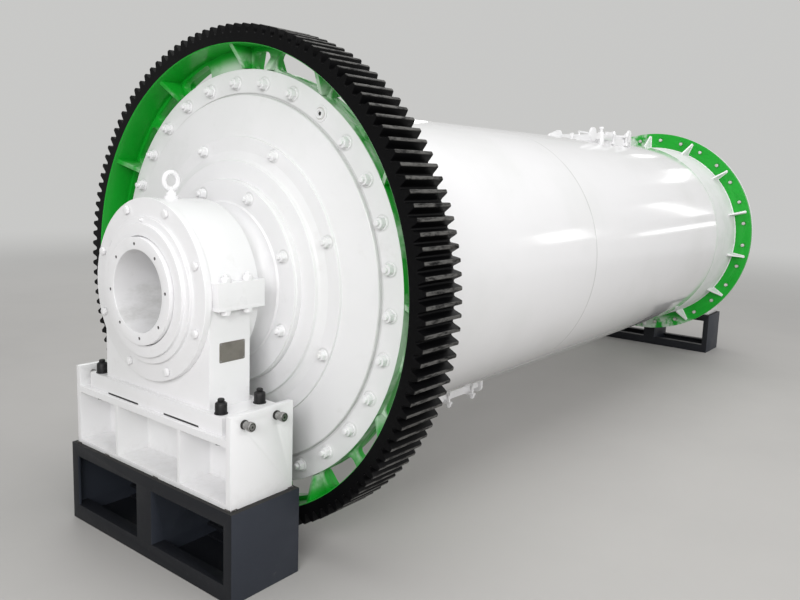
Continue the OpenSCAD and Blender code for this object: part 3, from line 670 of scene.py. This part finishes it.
# Drum
def make_shell():
    outline = [(-SHELL_END, SHELL_R - 16), (-SHELL_END, SHELL_R)]
    for x in SEAMS:
        half = ((2, -0.1), (4, -0.45), (6, -0.15), (14, -0.1), (26, -0.1))
        outline += [(x - dx, SHELL_R + dr) for dx, dr in half[::-1]] + [(x + dx, SHELL_R + dr) for dx,
                dr in half]
    outline += [(SHELL_END, SHELL_R), (SHELL_END, SHELL_R - 16)]
    full = []
    for (x0, r0), (x1, r1) in zip(outline, outline[1:] + outline[:1]):
        n = max(1, round(abs(x1 - x0) / 240))
        full += [(x0 + (x1 - x0) * k / n, r0 + (r1 - r0) * k / n) for k in range(n)]
    Mesh().add(*lathe_data(full, 300), ON_AXIS).make("drum_shell", "drum", "shell", ("shell",))
    # lifting lug and stop on the crown
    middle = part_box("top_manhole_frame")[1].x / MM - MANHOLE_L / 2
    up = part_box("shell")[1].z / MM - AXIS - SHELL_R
    low = AXIS + SHELL_R - 4
    lug = [(-113, 0), (-97, 0.3 * up + 4), (27, up + 4), (68, up + 4), (113, 0.2 * up + 4), (113, 0)]
    stop = [(-20, 0), (-6, 0.9 * up + 4), (6, 0.9 * up + 4), (20, 0)]
    m = Mesh()
    for lead, outline in ((593, lug), (327, stop)):
        m.add(*plate_data([(middle - lead + x, low + z) for x, z in outline], -7, 7))
    m.make("crown_lugs", "drum", "plate", (), 32, bevel=(1.5, 40, 2))


def head_outline():
    fit, spigot, boss = SHELL_R - 18, 200, 505
    pts = [(-46, spigot), (-46, fit), (-FLANGE_T, fit), (-FLANGE_T, FLANGE_R), (0, FLANGE_R), (0, 789),
           (-4.5, 788), (-4.5, 782.5), (0, 781.5), (12, 782), (16, 778), (30, 610), (42, 609), (42, 550),
           (52, boss + 16), (58, boss + 6), (HUB_SEAT, boss + 2), (HUB_SEAT, spigot)]
    radii = [0, 2, 0, 0, 3, 0, 0, 0, 0, 4, 5, 2, 3, 3, 6, 4, 3, 0]
    return rounded(pts, radii)


def neck_outline():
    face, neck, shoulder = HUB_FACE, 335, 262
    shoulder_end, journal, journal_end, end, bore, spigot = 236, 220, HOUSING_OUT - 5, 209, BORE_R, 200
    pts = [(-46, bore), (-46, spigot), (HUB_SEAT, spigot), (HUB_SEAT, HUB_R), (93, HUB_R), (96, HUB_R - 3),
           (face, HUB_R - 4), (face, neck + 6)]
    radii = [0, 0, 0, 1, 1.5, 1, 2, 3]
    reach = shoulder_end - 24 - face
    for k in range(13):
        a = math.pi / 2 * k / 12
        pts.append((face + 8 + (reach - 8) * (1 - math.cos(a)),
                    shoulder + (neck - shoulder) * (1 - math.sin(a))))
        radii.append(0)
    pts += [(shoulder_end, shoulder), (shoulder_end, journal), (journal_end, journal), (journal_end, end),
            (REACH, end), (REACH, bore)]
    radii += [3, 0, 1, 0, 2.5, 4]
    return rounded(pts, radii)


def repaint(piece, chosen):
    """Gives the second material to the faces that are chosen by distance from the axis and slope."""
    for p in piece.data.polygons:
        if chosen(math.hypot(p.center.y, p.center.z - AXIS * MM) / MM, abs(p.normal.x)):
            p.material_index = 1


def make_heads():
    for side, end in ((-1, "near"), (1, "far")):
        m = Mesh().add(*lathe_data(head_outline(), 256), end_matrix(side))
        plate = m.make(end + "_head_plate", "drum", ("head", "green_drift"), (end + "_head",), 28)
        if side < 0:
            repaint(plate, lambda r, slope: r > FLANGE_R - 2 and slope < 0.6)
        m = Mesh().add(*lathe_data(neck_outline(), 192), end_matrix(side))
        hub = m.make(end + "_hollow_trunnion", "drum", ("head", "bore"), (end + "_trunnion",), 28)
        drill(hub, side)
        repaint(hub, lambda r, slope: r < BORE_R + 1 and slope < 0.5)


def drill(hub, side):
    """Cuts the tapped holes of the end ring."""
    m = Mesh()
    for place in around(8, DRUM_TURN, END_HOLE_R):
        m.add(*disc_stack([(REACH - 26, 5), (REACH - 1.5, 5), (REACH + 0.5, 6.6), (REACH + 4, 6.6)], 16),
              end_matrix(side) @ place)
    for angle in (209, 216):
        place = spot(angle, 168)
        m.add(*disc_stack([(REACH - 8, 2), (REACH + 4, 2)], 10), end_matrix(side) @ place)
    cutter = bpy.data.objects.new("cutter", m.data("cutter"))
    bpy.context.scene.collection.objects.link(cutter)
    mod = hub.modifiers.new("holes", "BOOLEAN")
    mod.object, mod.operation, mod.solver = cutter, "DIFFERENCE", "EXACT"
    bpy.context.view_layer.update()
    cut = bpy.data.meshes.new_from_object(hub.evaluated_get(bpy.context.evaluated_depsgraph_get()))
    hub.modifiers.clear()
    cut.name = hub.data.name + "_cut"
    hub.data = cut
    smooth(cut, 28)
    bpy.data.objects.remove(cutter)


def make_flanges():
    dress("near_shell_flange", "near_flange_ring", "drum", "green", 1.5)
    dress("far_shell_flange", "far_flange_ring", "drum", "green", 1.5)
    dress("flange_gussets", "gusset_plates", "drum", "plate", 1.2)
    m = Mesh()
    flange_in = HEAD - 2 * FLANGE_T
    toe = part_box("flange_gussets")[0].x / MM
    for k in range(GUSSETS):
        a = GUSSET_FIRST + k * 360 / GUSSETS
        turn = ON_AXIS @ Matrix.Rotation(-math.radians(a), 4, "X")
        for s in (-1, 1):
            z = s * 8
            y = -math.sqrt(SHELL_R ** 2 - z * z)
            corner = [(flange_in - 4, y - 1, z), (flange_in - 2, y - 6, z)]
            bead(m, [(toe + 4, y - 1, z), *corner, (flange_in - 2, y - 104, z)], 4.2, turn)
    r, turns = SHELL_R + 1, [2 * math.pi * k / 240 for k in range(240)]
    ring = [(flange_in - 2, -r * math.cos(t), AXIS + r * math.sin(t)) for t in turns]
    bead(m, ring, 5.5, closed=True, step=30)
    m.make("gusset_welds", "drum", "plate", (), 60)


# Girth gear
def inv(a):
    return math.tan(a) - a


def tooth_outline():
    """Half a tooth from the gap's middle to the crest, as (radius, angle from the tooth's middle)."""
    pitch_r = TEETH * MODULE / 2
    base = pitch_r * math.cos(math.radians(20))
    root = pitch_r - 1.25 * MODULE
    half_pitch = math.pi / TEETH

    def half(r):
        return math.pi / 2 / TEETH + inv(math.radians(20)) - inv(math.acos(min(1, base / r)))

    a0 = half(root)
    pts = [(root, half_pitch), (root, a0 + 0.0032), (root + 1.2, a0 + 0.0012),
           (root + 4, half(root + 4) + 0.0002)]
    for k in range(7):
        r = root + 7 + (TIP_R - 1.8 - root - 7) * k / 6
        pts.append((r, half(r)))
    pts.append((TIP_R, half(TIP_R) - 0.0018))
    return pts


def make_gear():
    halfway = tooth_outline()
    root = halfway[0][0]
    ring = []
    for i in range(TEETH):
        mid = 2 * math.pi * i / TEETH
        ring += [(r, mid - a) for r, a in halfway]
        ring += [(r, mid + a) for r, a in halfway[::-1][:-1]]
    # along the axis: the profile shrinks a little at both faces, as a chamfer
    stations = [(-GEAR_OUT, 2.4), (-GEAR_OUT + 2.4, 0.0), (-GEAR_IN - 2.4, 0.0), (-GEAR_IN, 2.4)]
    n = len(ring)
    points = []
    for x, inset in stations:
        for r, a in ring:
            rr = r - inset if r > root + 6 else r - inset * 0.6
            points.append((x, rr * math.sin(a), rr * math.cos(a)))
    faces = quads(4, n, wrap_rows=False)
    # side faces: each tooth a polygon, then strips down to the rim's bore
    per = len(halfway) * 2 - 1
    lip = 3.0
    for row in (0, 3 * n):
        faces += [[row + i * per + k for k in range(1, per)] for i in range(TEETH)]
    base = len(points)
    for x, inward in ((-GEAR_OUT, lip), (-GEAR_IN, -lip)):
        for i in range(2 * TEETH):
            a = (i - 1) * math.pi / TEETH
            for xx, r in ((x, root - 10), (x, RIM_R + lip), (x + inward, RIM_R)):
                points.append((xx, r * math.sin(a), r * math.cos(a)))
    bore = []
    stride = 2 * 3
    for side_index, w in enumerate((0, 3)):
        start = base + side_index * TEETH * stride
        for i in range(TEETH):
            i2 = (i + 1) % TEETH
            gap = w * n + i * per
            left, mid = start + i * stride, start + i * stride + 3
            nxt = start + i2 * stride
            gap2 = w * n + i2 * per
            faces += [[gap, gap + 1, mid, left], [gap + 1, gap + per - 1, mid],
                      [gap + per - 1, gap2, nxt, mid]]
            for strip, level in ((faces, 0), (bore, 1)):
                for a, b in ((left + level, mid + level), (mid + level, nxt + level)):
                    strip.append([a, b, b + 1, a + 1])
    # bore of the rim
    a0, b0 = base, base + TEETH * stride
    for i in range(TEETH):
        i2 = (i + 1) % TEETH
        l0, m0, n0 = a0 + i * stride + 2, a0 + i * stride + 5, a0 + i2 * stride + 2
        l1, m1, n1 = b0 + i * stride + 2, b0 + i * stride + 5, b0 + i2 * stride + 2
        bore += [[l0, m0, m1, l1], [m0, n0, n1, m1]]
    m = Mesh().add(points, faces, ON_AXIS)
    m.faces += bore
    m.kinds += [1] * len(bore)
    m.make("girth_gear_rim", "drum", ("gear", "green"), ("gear_rim",), 30)
    dress("gear_web", "gear_web_plate", "drum", "green_drift", 2.5)
    dress("gear_ribs", "gear_rib_plates", "drum", "green_drift", 2.0)


# Fasteners on the drum
def flange_bolt(m, place):
    bolt(m, place, FLANGE_BOLT_D, across=1.48, pad=1.02, thread=0.44)


def make_near_studs():
    m = Mesh()
    place = end_matrix(-1)
    for i, turn in enumerate(around(NEAR_STUDS, NEAR_FIRST, FLANGE_BOLT_R)):
        if i == BARE_STUD:
            m.add(*disc_stack(washer_outline(0, 33, 5), 36), place @ turn)
            m.add(*disc_stack([(4.9, 25), (5.4, 24.5)], 32), place @ turn, 2)
            m.add(*disc_stack([(5, 20.5), (11, 19), (11, 11), (6.5, 10)], 32), place @ turn)
            # painted shade: a dark disc on the stud's end stands for the shade in its centre hole
            m.add(*disc_stack([(6.4, 8), (6.9, 7.5)], 20), place @ turn, 1)
        else:
            flange_bolt(m, place @ turn)
        # nut behind the shell flange, the stud runs through
        nut = hexagon_data(2 * FLANGE_T + WEB_OUT - WEB_IN, 1.55 * FLANGE_BOLT_D, 0.85 * FLANGE_BOLT_D)
        m.add(*nut, place @ turn @ Matrix.Diagonal((-1, 1, 1, 1)))
    m.make("near_flange_studs", "drum", ("fastener", "dark_and_hole_shade", "primer"), ("near_flange_bolts",), 35)


def make_far_studs():
    m = Mesh()
    place = end_matrix(1)
    for turn in around(FAR_STUDS, FAR_FIRST, FLANGE_BOLT_R):
        flange_bolt(m, place @ turn)
        end = -2 * FLANGE_T - 0.7 * FLANGE_BOLT_D
        m.add(*disc_stack([(end, 8), (end + 1.5, 11.4), (end + 3, 12.9), (-2, 12.9)], 24), place @ turn, 1)
    m.make("far_flange_studs", "drum", ("fastener", "primer"), ("far_flange_bolts",), 35)


def make_head_studs():
    for side, end in ((-1, "near"), (1, "far")):
        m = Mesh()
        for r, seat in ((HUB_BOLT_R, HUB_FACE), (LINER_BOLT_R, LINER_SEAT)):
            for turn in around(HEAD_BOLTS, HEAD_FIRST, r):
                bolt(m, end_matrix(side) @ turn @ Matrix.Translation((seat, 0, 0)), HEAD_BOLT_D)
        m.make(end + "_head_studs", "drum", "fastener", (end + "_head_bolts",), 35)


def make_manholes():
    for name in ("top", "bottom"):
        dress(name + "_manhole_frame", name + "_manhole_neck", "drum", "plate", 2.0)
        dress(name + "_manhole_cover", name + "_manhole_lid", "drum", "plate", 1.5)


# Bearings
def make_covers(side, end):
    place = end_matrix(side)
    step = COVER_FACE + 15
    pts = [(HOUSING_OUT, 212), (HOUSING_OUT, COVER_R), (COVER_FACE, COVER_R), (COVER_FACE, 285),
           (step, 285), (step, 259), (step + 15, 259), (step + 15, 212)]
    m = Mesh().add(*lathe_data(rounded(pts, [0, 1.5, 3.5, 5, 3, 4, 3, 2.5]), 224), place)
    for turn in around(8, 22.5, 326):
        m.add(*disc_stack(washer_outline(COVER_FACE, 13.5, 2), 24), place @ turn)
        m.add(*hexagon_data(COVER_FACE + 2, 29, 11), place @ turn)
    # grease nipple
    nip = spot(92, 272)
    m.add(*disc_stack([(COVER_FACE + 15, 7), (COVER_FACE + 19, 7), (COVER_FACE + 20, 4),
                       (COVER_FACE + 26, 3.6), (COVER_FACE + 28, 2)], 14), place @ nip)
    m.make(end + "_cover_plate", "frame", "casting", (end + "_outer_cover",), 28)
    pts = [(HOUSING_IN - 20, 266), (HOUSING_IN - 20, HOUSING_R - 21), (HOUSING_IN, HOUSING_R - 21),
           (HOUSING_IN, 266)]
    m = Mesh().add(*lathe_data(rounded(pts, [2, 3, 0, 0]), 192), place)
    m.make(end + "_inner_cover_plate", "frame", "casting", (end + "_inner_cover",), 28)


def sheet_data(u0, u1, z0, z1, w):
    return plate_data([(u0, z0), (u1, z0), (u1, z1), (u0, z1)], -w, w)


def make_stand_sheets(side, end):
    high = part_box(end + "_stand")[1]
    u0, u1 = along_mill(end + "_stand")
    w = high.y / MM - 14
    # thin sheet that closes the stand's underside
    m = Mesh().add(*sheet_data(u0 + 14, u1 - 14, 2, 8, w), floor_matrix(side))
    # and one that closes its top round the base's foot
    z, w = high.z / MM, high.y / MM - 7.5
    m.add(*sheet_data(u0 + 10, u1 - 10, z - 6, z - 0.6, w), floor_matrix(side))
    m.make(end + "_stand_sheet", "frame", "stand", (), 32, bevel=(0.4, 40, 1))


def make_bearings():
    for side, end in ((-1, "near"), (1, "far")):
        dress(end + "_housing", end + "_housing_body", "frame", "casting", 4.0, 50, 3)
        dress(end + "_cap", end + "_housing_cap", "frame", "casting", 3.0, 50, 3)
        make_covers(side, end)
        make_eye(end)
        make_anchor_nuts(side, end)
        make_jack_bolts(side, end)
        make_cap_studs(side, end)
        dress(end + "_bearing_base", end + "_base_weldment", "frame", "plate", 1.6)
        dress(end + "_stand", end + "_floor_stand", "frame", "stand", 2.2)
        make_stand_sheets(side, end)
        for part, look in (("_shims", "black"), ("_bearing", "steel")):
            NODES[end + part].data.materials.clear()
            NODES[end + part].data.materials.append(M[look])


def upright(x, y, z):
    """From a piece's own +X to upright at a place, all in the end's own frame."""
    return Matrix.Translation((x, y, z)) @ Matrix.Rotation(-math.pi / 2, 4, "Y")


def make_eye(end):
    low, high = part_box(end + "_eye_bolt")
    x, z0, z1 = (low.x + high.x) / 2 / MM, low.z / MM, high.z / MM
    wire, ring = 10, 32
    zc = z1 - ring - wire
    place = upright(x, 0, z0)
    m = Mesh().add(*disc_stack([(0, 20), (10, 20), (13, 18), (15, 13), (22, 12), (28, 12.5)], 32), place)
    points = []
    big, small = 40, 14
    for i in range(big):
        a = 2 * math.pi * i / big
        for k in range(small):
            b = 2 * math.pi * k / small
            r = ring + wire * math.cos(b)
            points.append((x + r * math.sin(a), wire * math.sin(b), zc + r * math.cos(a)))
    m.add(points, quads(big, small))
    m.make(end + "_lifting_eye", "frame", "casting", (end + "_eye_bolt",), 40)


def along_mill(node, corner=0):
    """The two places along the mill, as u, that lie corner inside a node's box."""
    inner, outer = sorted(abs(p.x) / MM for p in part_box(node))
    return [inner + corner - HEAD, outer - corner - HEAD]


def make_anchor_nuts(side, end):
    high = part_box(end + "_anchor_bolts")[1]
    nut_r = 0.825 * ANCHOR_D
    y0 = high.y / MM - nut_r
    top = high.z / MM
    foot_top = top - 58
    under = -94
    m = Mesh()
    for ux in along_mill(end + "_anchor_bolts", 0.92 * ANCHOR_D):
        for s in (-1, 1):
            place = floor_matrix(side) @ upright(ux, s * y0, foot_top)
            m.add(*disc_stack([(0, nut_r + 3.5), (3, nut_r + 3.5), (4, nut_r + 1)], 36), place)
            m.add(*disc_stack([(4, nut_r + 0.8), (38, nut_r + 0.8), (40.5, nut_r - 0.5), (44.5, 15.5),
                               (45.5, 14)], 36), place)
            m.add(*disc_stack([(45.5, 11.5), (48, 12.8), (54, 12.8), (57, 10.6), (58, 7)], 24), place)
            m.add(*disc_stack([(under - 26, 11), (under - 24, 13), (0, 13)], 24), place)
            m.add(*hexagon_data(under - 20.8, 41, 20.8), place)
    m.make(end + "_anchor_nuts", "frame", "black", (end + "_anchor_bolts",), 35)


def make_jack_bolts(side, end):
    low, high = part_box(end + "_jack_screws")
    reach = high.y / MM
    z = (low.z + high.z) / 2 / MM
    r = (high.z - low.z) / 2 / MM
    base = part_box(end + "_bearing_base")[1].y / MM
    m = Mesh()
    for ux in along_mill(end + "_jack_screws", r):
        for s in (-1, 1):
            place = floor_matrix(side) @ Matrix.Translation((ux, 0, z))
            place = place @ Matrix.Rotation(s * math.pi / 2, 4, "Z")
            m.add(*disc_stack([(base, 17.4), (base + 6, 17.4), (base + 7.5, 16)], 28), place, 1)
            m.add(*disc_stack([(base - 75, 12), (base + 16, 12)], 24), place)
            m.add(*disc_stack([(base + 9, 14.6), (base + 20, 14.6), (base + 23, 12.6), (reach - r, 12.6)],
                              28), place)
            m.add(*disc_stack([(reach - 18, r - 1.4), (reach - 16, r), (reach - 3, r),
                               (reach - 0.5, r - 1.6)], 36), place)
            # painted shade: a dark ring and a dark centre disc on the head stand for the shade in its groove
            # and hex recess
            m.add(*disc_stack([(reach - 0.6, r - 3.6), (reach - 0.3, r - 4)], 36), place, 1)
            m.add(*disc_stack([(reach - 0.4, r - 6.6), (reach, r - 7)], 36), place)
            m.add(*disc_stack([(reach - 0.1, 4.2), (reach, 4)], 20), place, 1)
    m.make(end + "_jack_bolts", "frame", ("steel", "dark_and_hole_shade"), (end + "_jack_screws",), 35)


def make_cap_studs(side, end):
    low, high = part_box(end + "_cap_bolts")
    m = Mesh()
    d = 24
    z_low, z_high = low.z / MM, high.z / MM
    corner = 0.92 * 0.9 * d
    yb = high.y / MM - corner * math.cos(math.pi / 6)
    head_h = 0.75 * d
    ear_top = z_high - 1.3 * d
    ear_bottom = z_low + head_h
    for ux in along_mill(end + "_cap_bolts", corner):
        for s in (-1, 1):
            at = floor_matrix(side) @ upright(ux, s * yb, ear_top)
            m.add(*disc_stack(washer_outline(0, 17, 2.5), 24), at)
            m.add(*hexagon_data(2.5, 33, 17), at)
            m.add(*disc_stack(stud_outline(18, 10.5, z_high - ear_top - 18, 2.5), 18), at)
            at = floor_matrix(side) @ upright(ux, s * yb, ear_bottom) @ Matrix.Diagonal((-1, 1, 1, 1))
            m.add(*hexagon_data(0, 33, head_h), at)
    m.make(end + "_cap_studs", "frame", "fastener", (end + "_cap_bolts",), 35)


def make_nameplate():
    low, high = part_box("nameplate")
    c = (low + high) / 2 / MM
    w, h = (high.x - low.x) / MM, (high.z - low.z) / MM
    m = Mesh()
    y_back, y_front = high.y / MM, low.y / MM

    def ring(inset, corner, y):
        out = []
        dx, dz = w / 2 - inset - corner, h / 2 - inset - corner
        for cx, cz, start in ((dx, dz, 0), (-dx, dz, 90), (-dx, -dz, 180), (dx, -dz, 270)):
            for k in range(5):
                a = math.radians(start + 90 * k / 4)
                out.append((c.x + cx + corner * math.cos(a), y, c.z + cz + corner * math.sin(a)))
        return out

    face, groove = y_front + 1.4, y_front + 0.9
    rings = [ring(0, 5, y_back), ring(0, 5, face + 0.5), ring(0.5, 4.6, face), ring(9, 3, face)]
    rings += [ring(9.5, 3, groove), ring(10.5, 3, groove), ring(11, 3, face)]
    points = [p for r in rings for p in r]
    n = len(rings[0])
    faces = quads(len(rings), n, wrap_rows=False)
    faces += [tuple(range(n)), tuple((len(rings) - 1) * n + k for k in range(n))]
    m.add(points, faces)
    for sx in (-1, 1):
        for sz in (-1, 1):
            at = Matrix.Translation((c.x + sx * (w / 2 - 6), face, c.z + sz * (h / 2 - 6)))
            place = at @ Matrix.Rotation(-math.pi / 2, 4, "Z")
            m.add(*disc_stack([(0, 3.6), (0.7, 3.2), (1.3, 1.8)], 16), place, 1)
    m.make("data_plate", "frame", ("plate_metal", "steel"), ("nameplate",), 35)


def make_weld_beads():
    """Beads along the plate joints of the bases and stands."""
    for side, end in ((-1, "near"), (1, "far")):
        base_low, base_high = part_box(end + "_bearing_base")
        u0, u1 = along_mill(end + "_bearing_base")
        w = base_high.y / MM
        z0 = base_low.z / MM
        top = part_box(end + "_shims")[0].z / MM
        place = floor_matrix(side)
        inner, rib_y = w - 26, 0.408 * w
        m = Mesh()
        mid = (u0 + u1) / 2
        for face in (mid - 8, mid + 8):
            for a, b in ((-inner, -rib_y - 8), (-rib_y + 8, rib_y - 8), (rib_y + 8, inner)):
                bead(m, [(face, a, z0 + 20), (face, b, z0 + 20)], 3.6, place)
                bead(m, [(face, a, top - 26), (face, b, top - 26)], 3.6, place)
            far_u = u1 if face > mid else u0
            for y in (-inner, -rib_y - 8, -rib_y + 8, rib_y - 8, rib_y + 8, inner):
                bead(m, [(face, y, z0 + 22), (face, y, top - 28)], 3.2, place)
                bead(m, [(face, y, z0 + 20), (far_u, y, z0 + 20)], 3.2, place)
        m.make(end + "_base_welds", "frame", "plate", (), 60)
        # tack welds between base and stand
        m = Mesh()
        for u in (u0 - 2, u1 + 2):
            for y in (-w + 14, -0.12 * w, 0.55 * w, w - 14):
                bead(m, [(u, y - 14, z0 + 1.5), (u, y + 14, z0 + 1.5)], 4.0, place, step=7)
        for s in (-1, 1):
            for u in (u0 + 10, u1 - 16):
                y = s * (w + 2)
                bead(m, [(u - 12, y, z0 + 1.5), (u + 12, y, z0 + 1.5)], 4.0, place, step=7)
        m.make(end + "_tack_welds", "frame", "burn", (), 60)


# Light and floor
FLOOR = (0.46, 0.45, 0.435)
BACK = (0.58, 0.58, 0.57)


def make_floor():
    bm = bmesh.new()
    bmesh.ops.create_grid(bm, x_segments=8, y_segments=8, size=60)
    mesh = bpy.data.meshes.new("floor")
    bm.to_mesh(mesh)
    bm.free()
    floor = bpy.data.objects.new("floor", mesh)
    floor.location.z = -0.0005
    bpy.context.scene.collection.objects.link(floor)
    p = Paint("floor_paint", FLOOR, 0.55)
    p.mix(p.band(p.noise(0.6, 5, 0.6), 0.4, 0.7), (0.42, 0.412, 0.40), 0.5)
    p.roughen(p.noise(3, 4), 0.15)
    p.bump(p.noise(60, 4), 0.3)
    # far away the floor passes into the backdrop
    glow = p.node("ShaderNodeEmission")
    glow.inputs["Color"].default_value = (*BACK, 1)
    away = p.length(p.axis("X"), p.axis("Y"))
    blend = p.node("ShaderNodeMixShader")
    p.link(p.band(away, 2.5, 15), blend.inputs[0])
    p.link(p.bsdf.outputs[0], blend.inputs[1])
    p.link(glow.outputs[0], blend.inputs[2])
    floor.data.materials.append(p.done())
    p.link(blend.outputs[0], p.tree.nodes["Material Output"].inputs["Surface"])


def make_world():
    world = bpy.data.worlds.new("studio")
    bpy.context.scene.world = world
    world.use_nodes = True
    tree = world.node_tree
    tree.nodes.clear()
    out = tree.nodes.new("ShaderNodeOutputWorld")
    ambient = tree.nodes.new("ShaderNodeBackground")
    ambient.inputs["Color"].default_value = (1.0, 1.0, 1.0, 1)
    ambient.inputs["Strength"].default_value = 0.43
    shown = tree.nodes.new("ShaderNodeBackground")
    shown.inputs["Color"].default_value = (*BACK, 1)
    shown.inputs["Strength"].default_value = 1.0
    path = tree.nodes.new("ShaderNodeLightPath")
    seen = path.outputs["Is Camera Ray"]
    for ray in ("Is Transmission Ray", "Is Glossy Ray"):
        either = tree.nodes.new("ShaderNodeMath")
        either.operation = "MAXIMUM"
        tree.links.new(seen, either.inputs[0])
        tree.links.new(path.outputs[ray], either.inputs[1])
        seen = either.outputs[0]
    mix = tree.nodes.new("ShaderNodeMixShader")
    tree.links.new(seen, mix.inputs[0])
    tree.links.new(ambient.outputs[0], mix.inputs[1])
    tree.links.new(shown.outputs[0], mix.inputs[2])
    tree.links.new(mix.outputs[0], out.inputs["Surface"])


def lamp(name, at, aim, size, power):
    data = bpy.data.lights.new(name, "AREA")
    data.shape, data.size, data.size_y = "RECTANGLE", size[0], size[1]
    data.energy = power
    o = bpy.data.objects.new(name, data)
    o.location = at
    o.rotation_euler = (Vector(aim) - Vector(at)).to_track_quat("-Z", "Y").to_euler()
    bpy.context.scene.collection.objects.link(o)


def make_lamps():
    lamp("overhead", (0.0, -0.6, 6.2), (0, 0, 1), (9, 5), 196)
    lamp("window_side", (-1.5, -7.5, 4.2), (0, 0, 1.0), (10, 0.8), 232)
    # windows of the far wall, seen as streaks in the shell's gloss
    windows = ((-4.2, 3.9, 0.55, 1.9), (-5.1, 2.0, 1.9, 0.4), (-7.9, 3.3, 1.5, 1.4), (-0.8, 5.8, 1.9, 0.45),
               (2.3, 5.9, 0.5, 0.5))
    for i, (y, z, wide, tall) in enumerate(windows):
        lamp("window_far_%d" % i, (14, y, z), (0, y, z), (wide, tall), 5.0 * wide * tall)
    lamp("window_front", (-8.5, -4.0, 4.0), (-2.5, 0, 1.0), (4, 3), 320)
    lamp("window_back", (3.0, 7.0, 4.0), (0, 0, 1.0), (8, 2), 110)


make_floor()
make_world()
make_lamps()
make_shell()
make_heads()
make_flanges()
make_gear()
make_near_studs()
make_far_studs()
make_head_studs()
make_manholes()
make_bearings()
make_nameplate()
make_weld_beads()
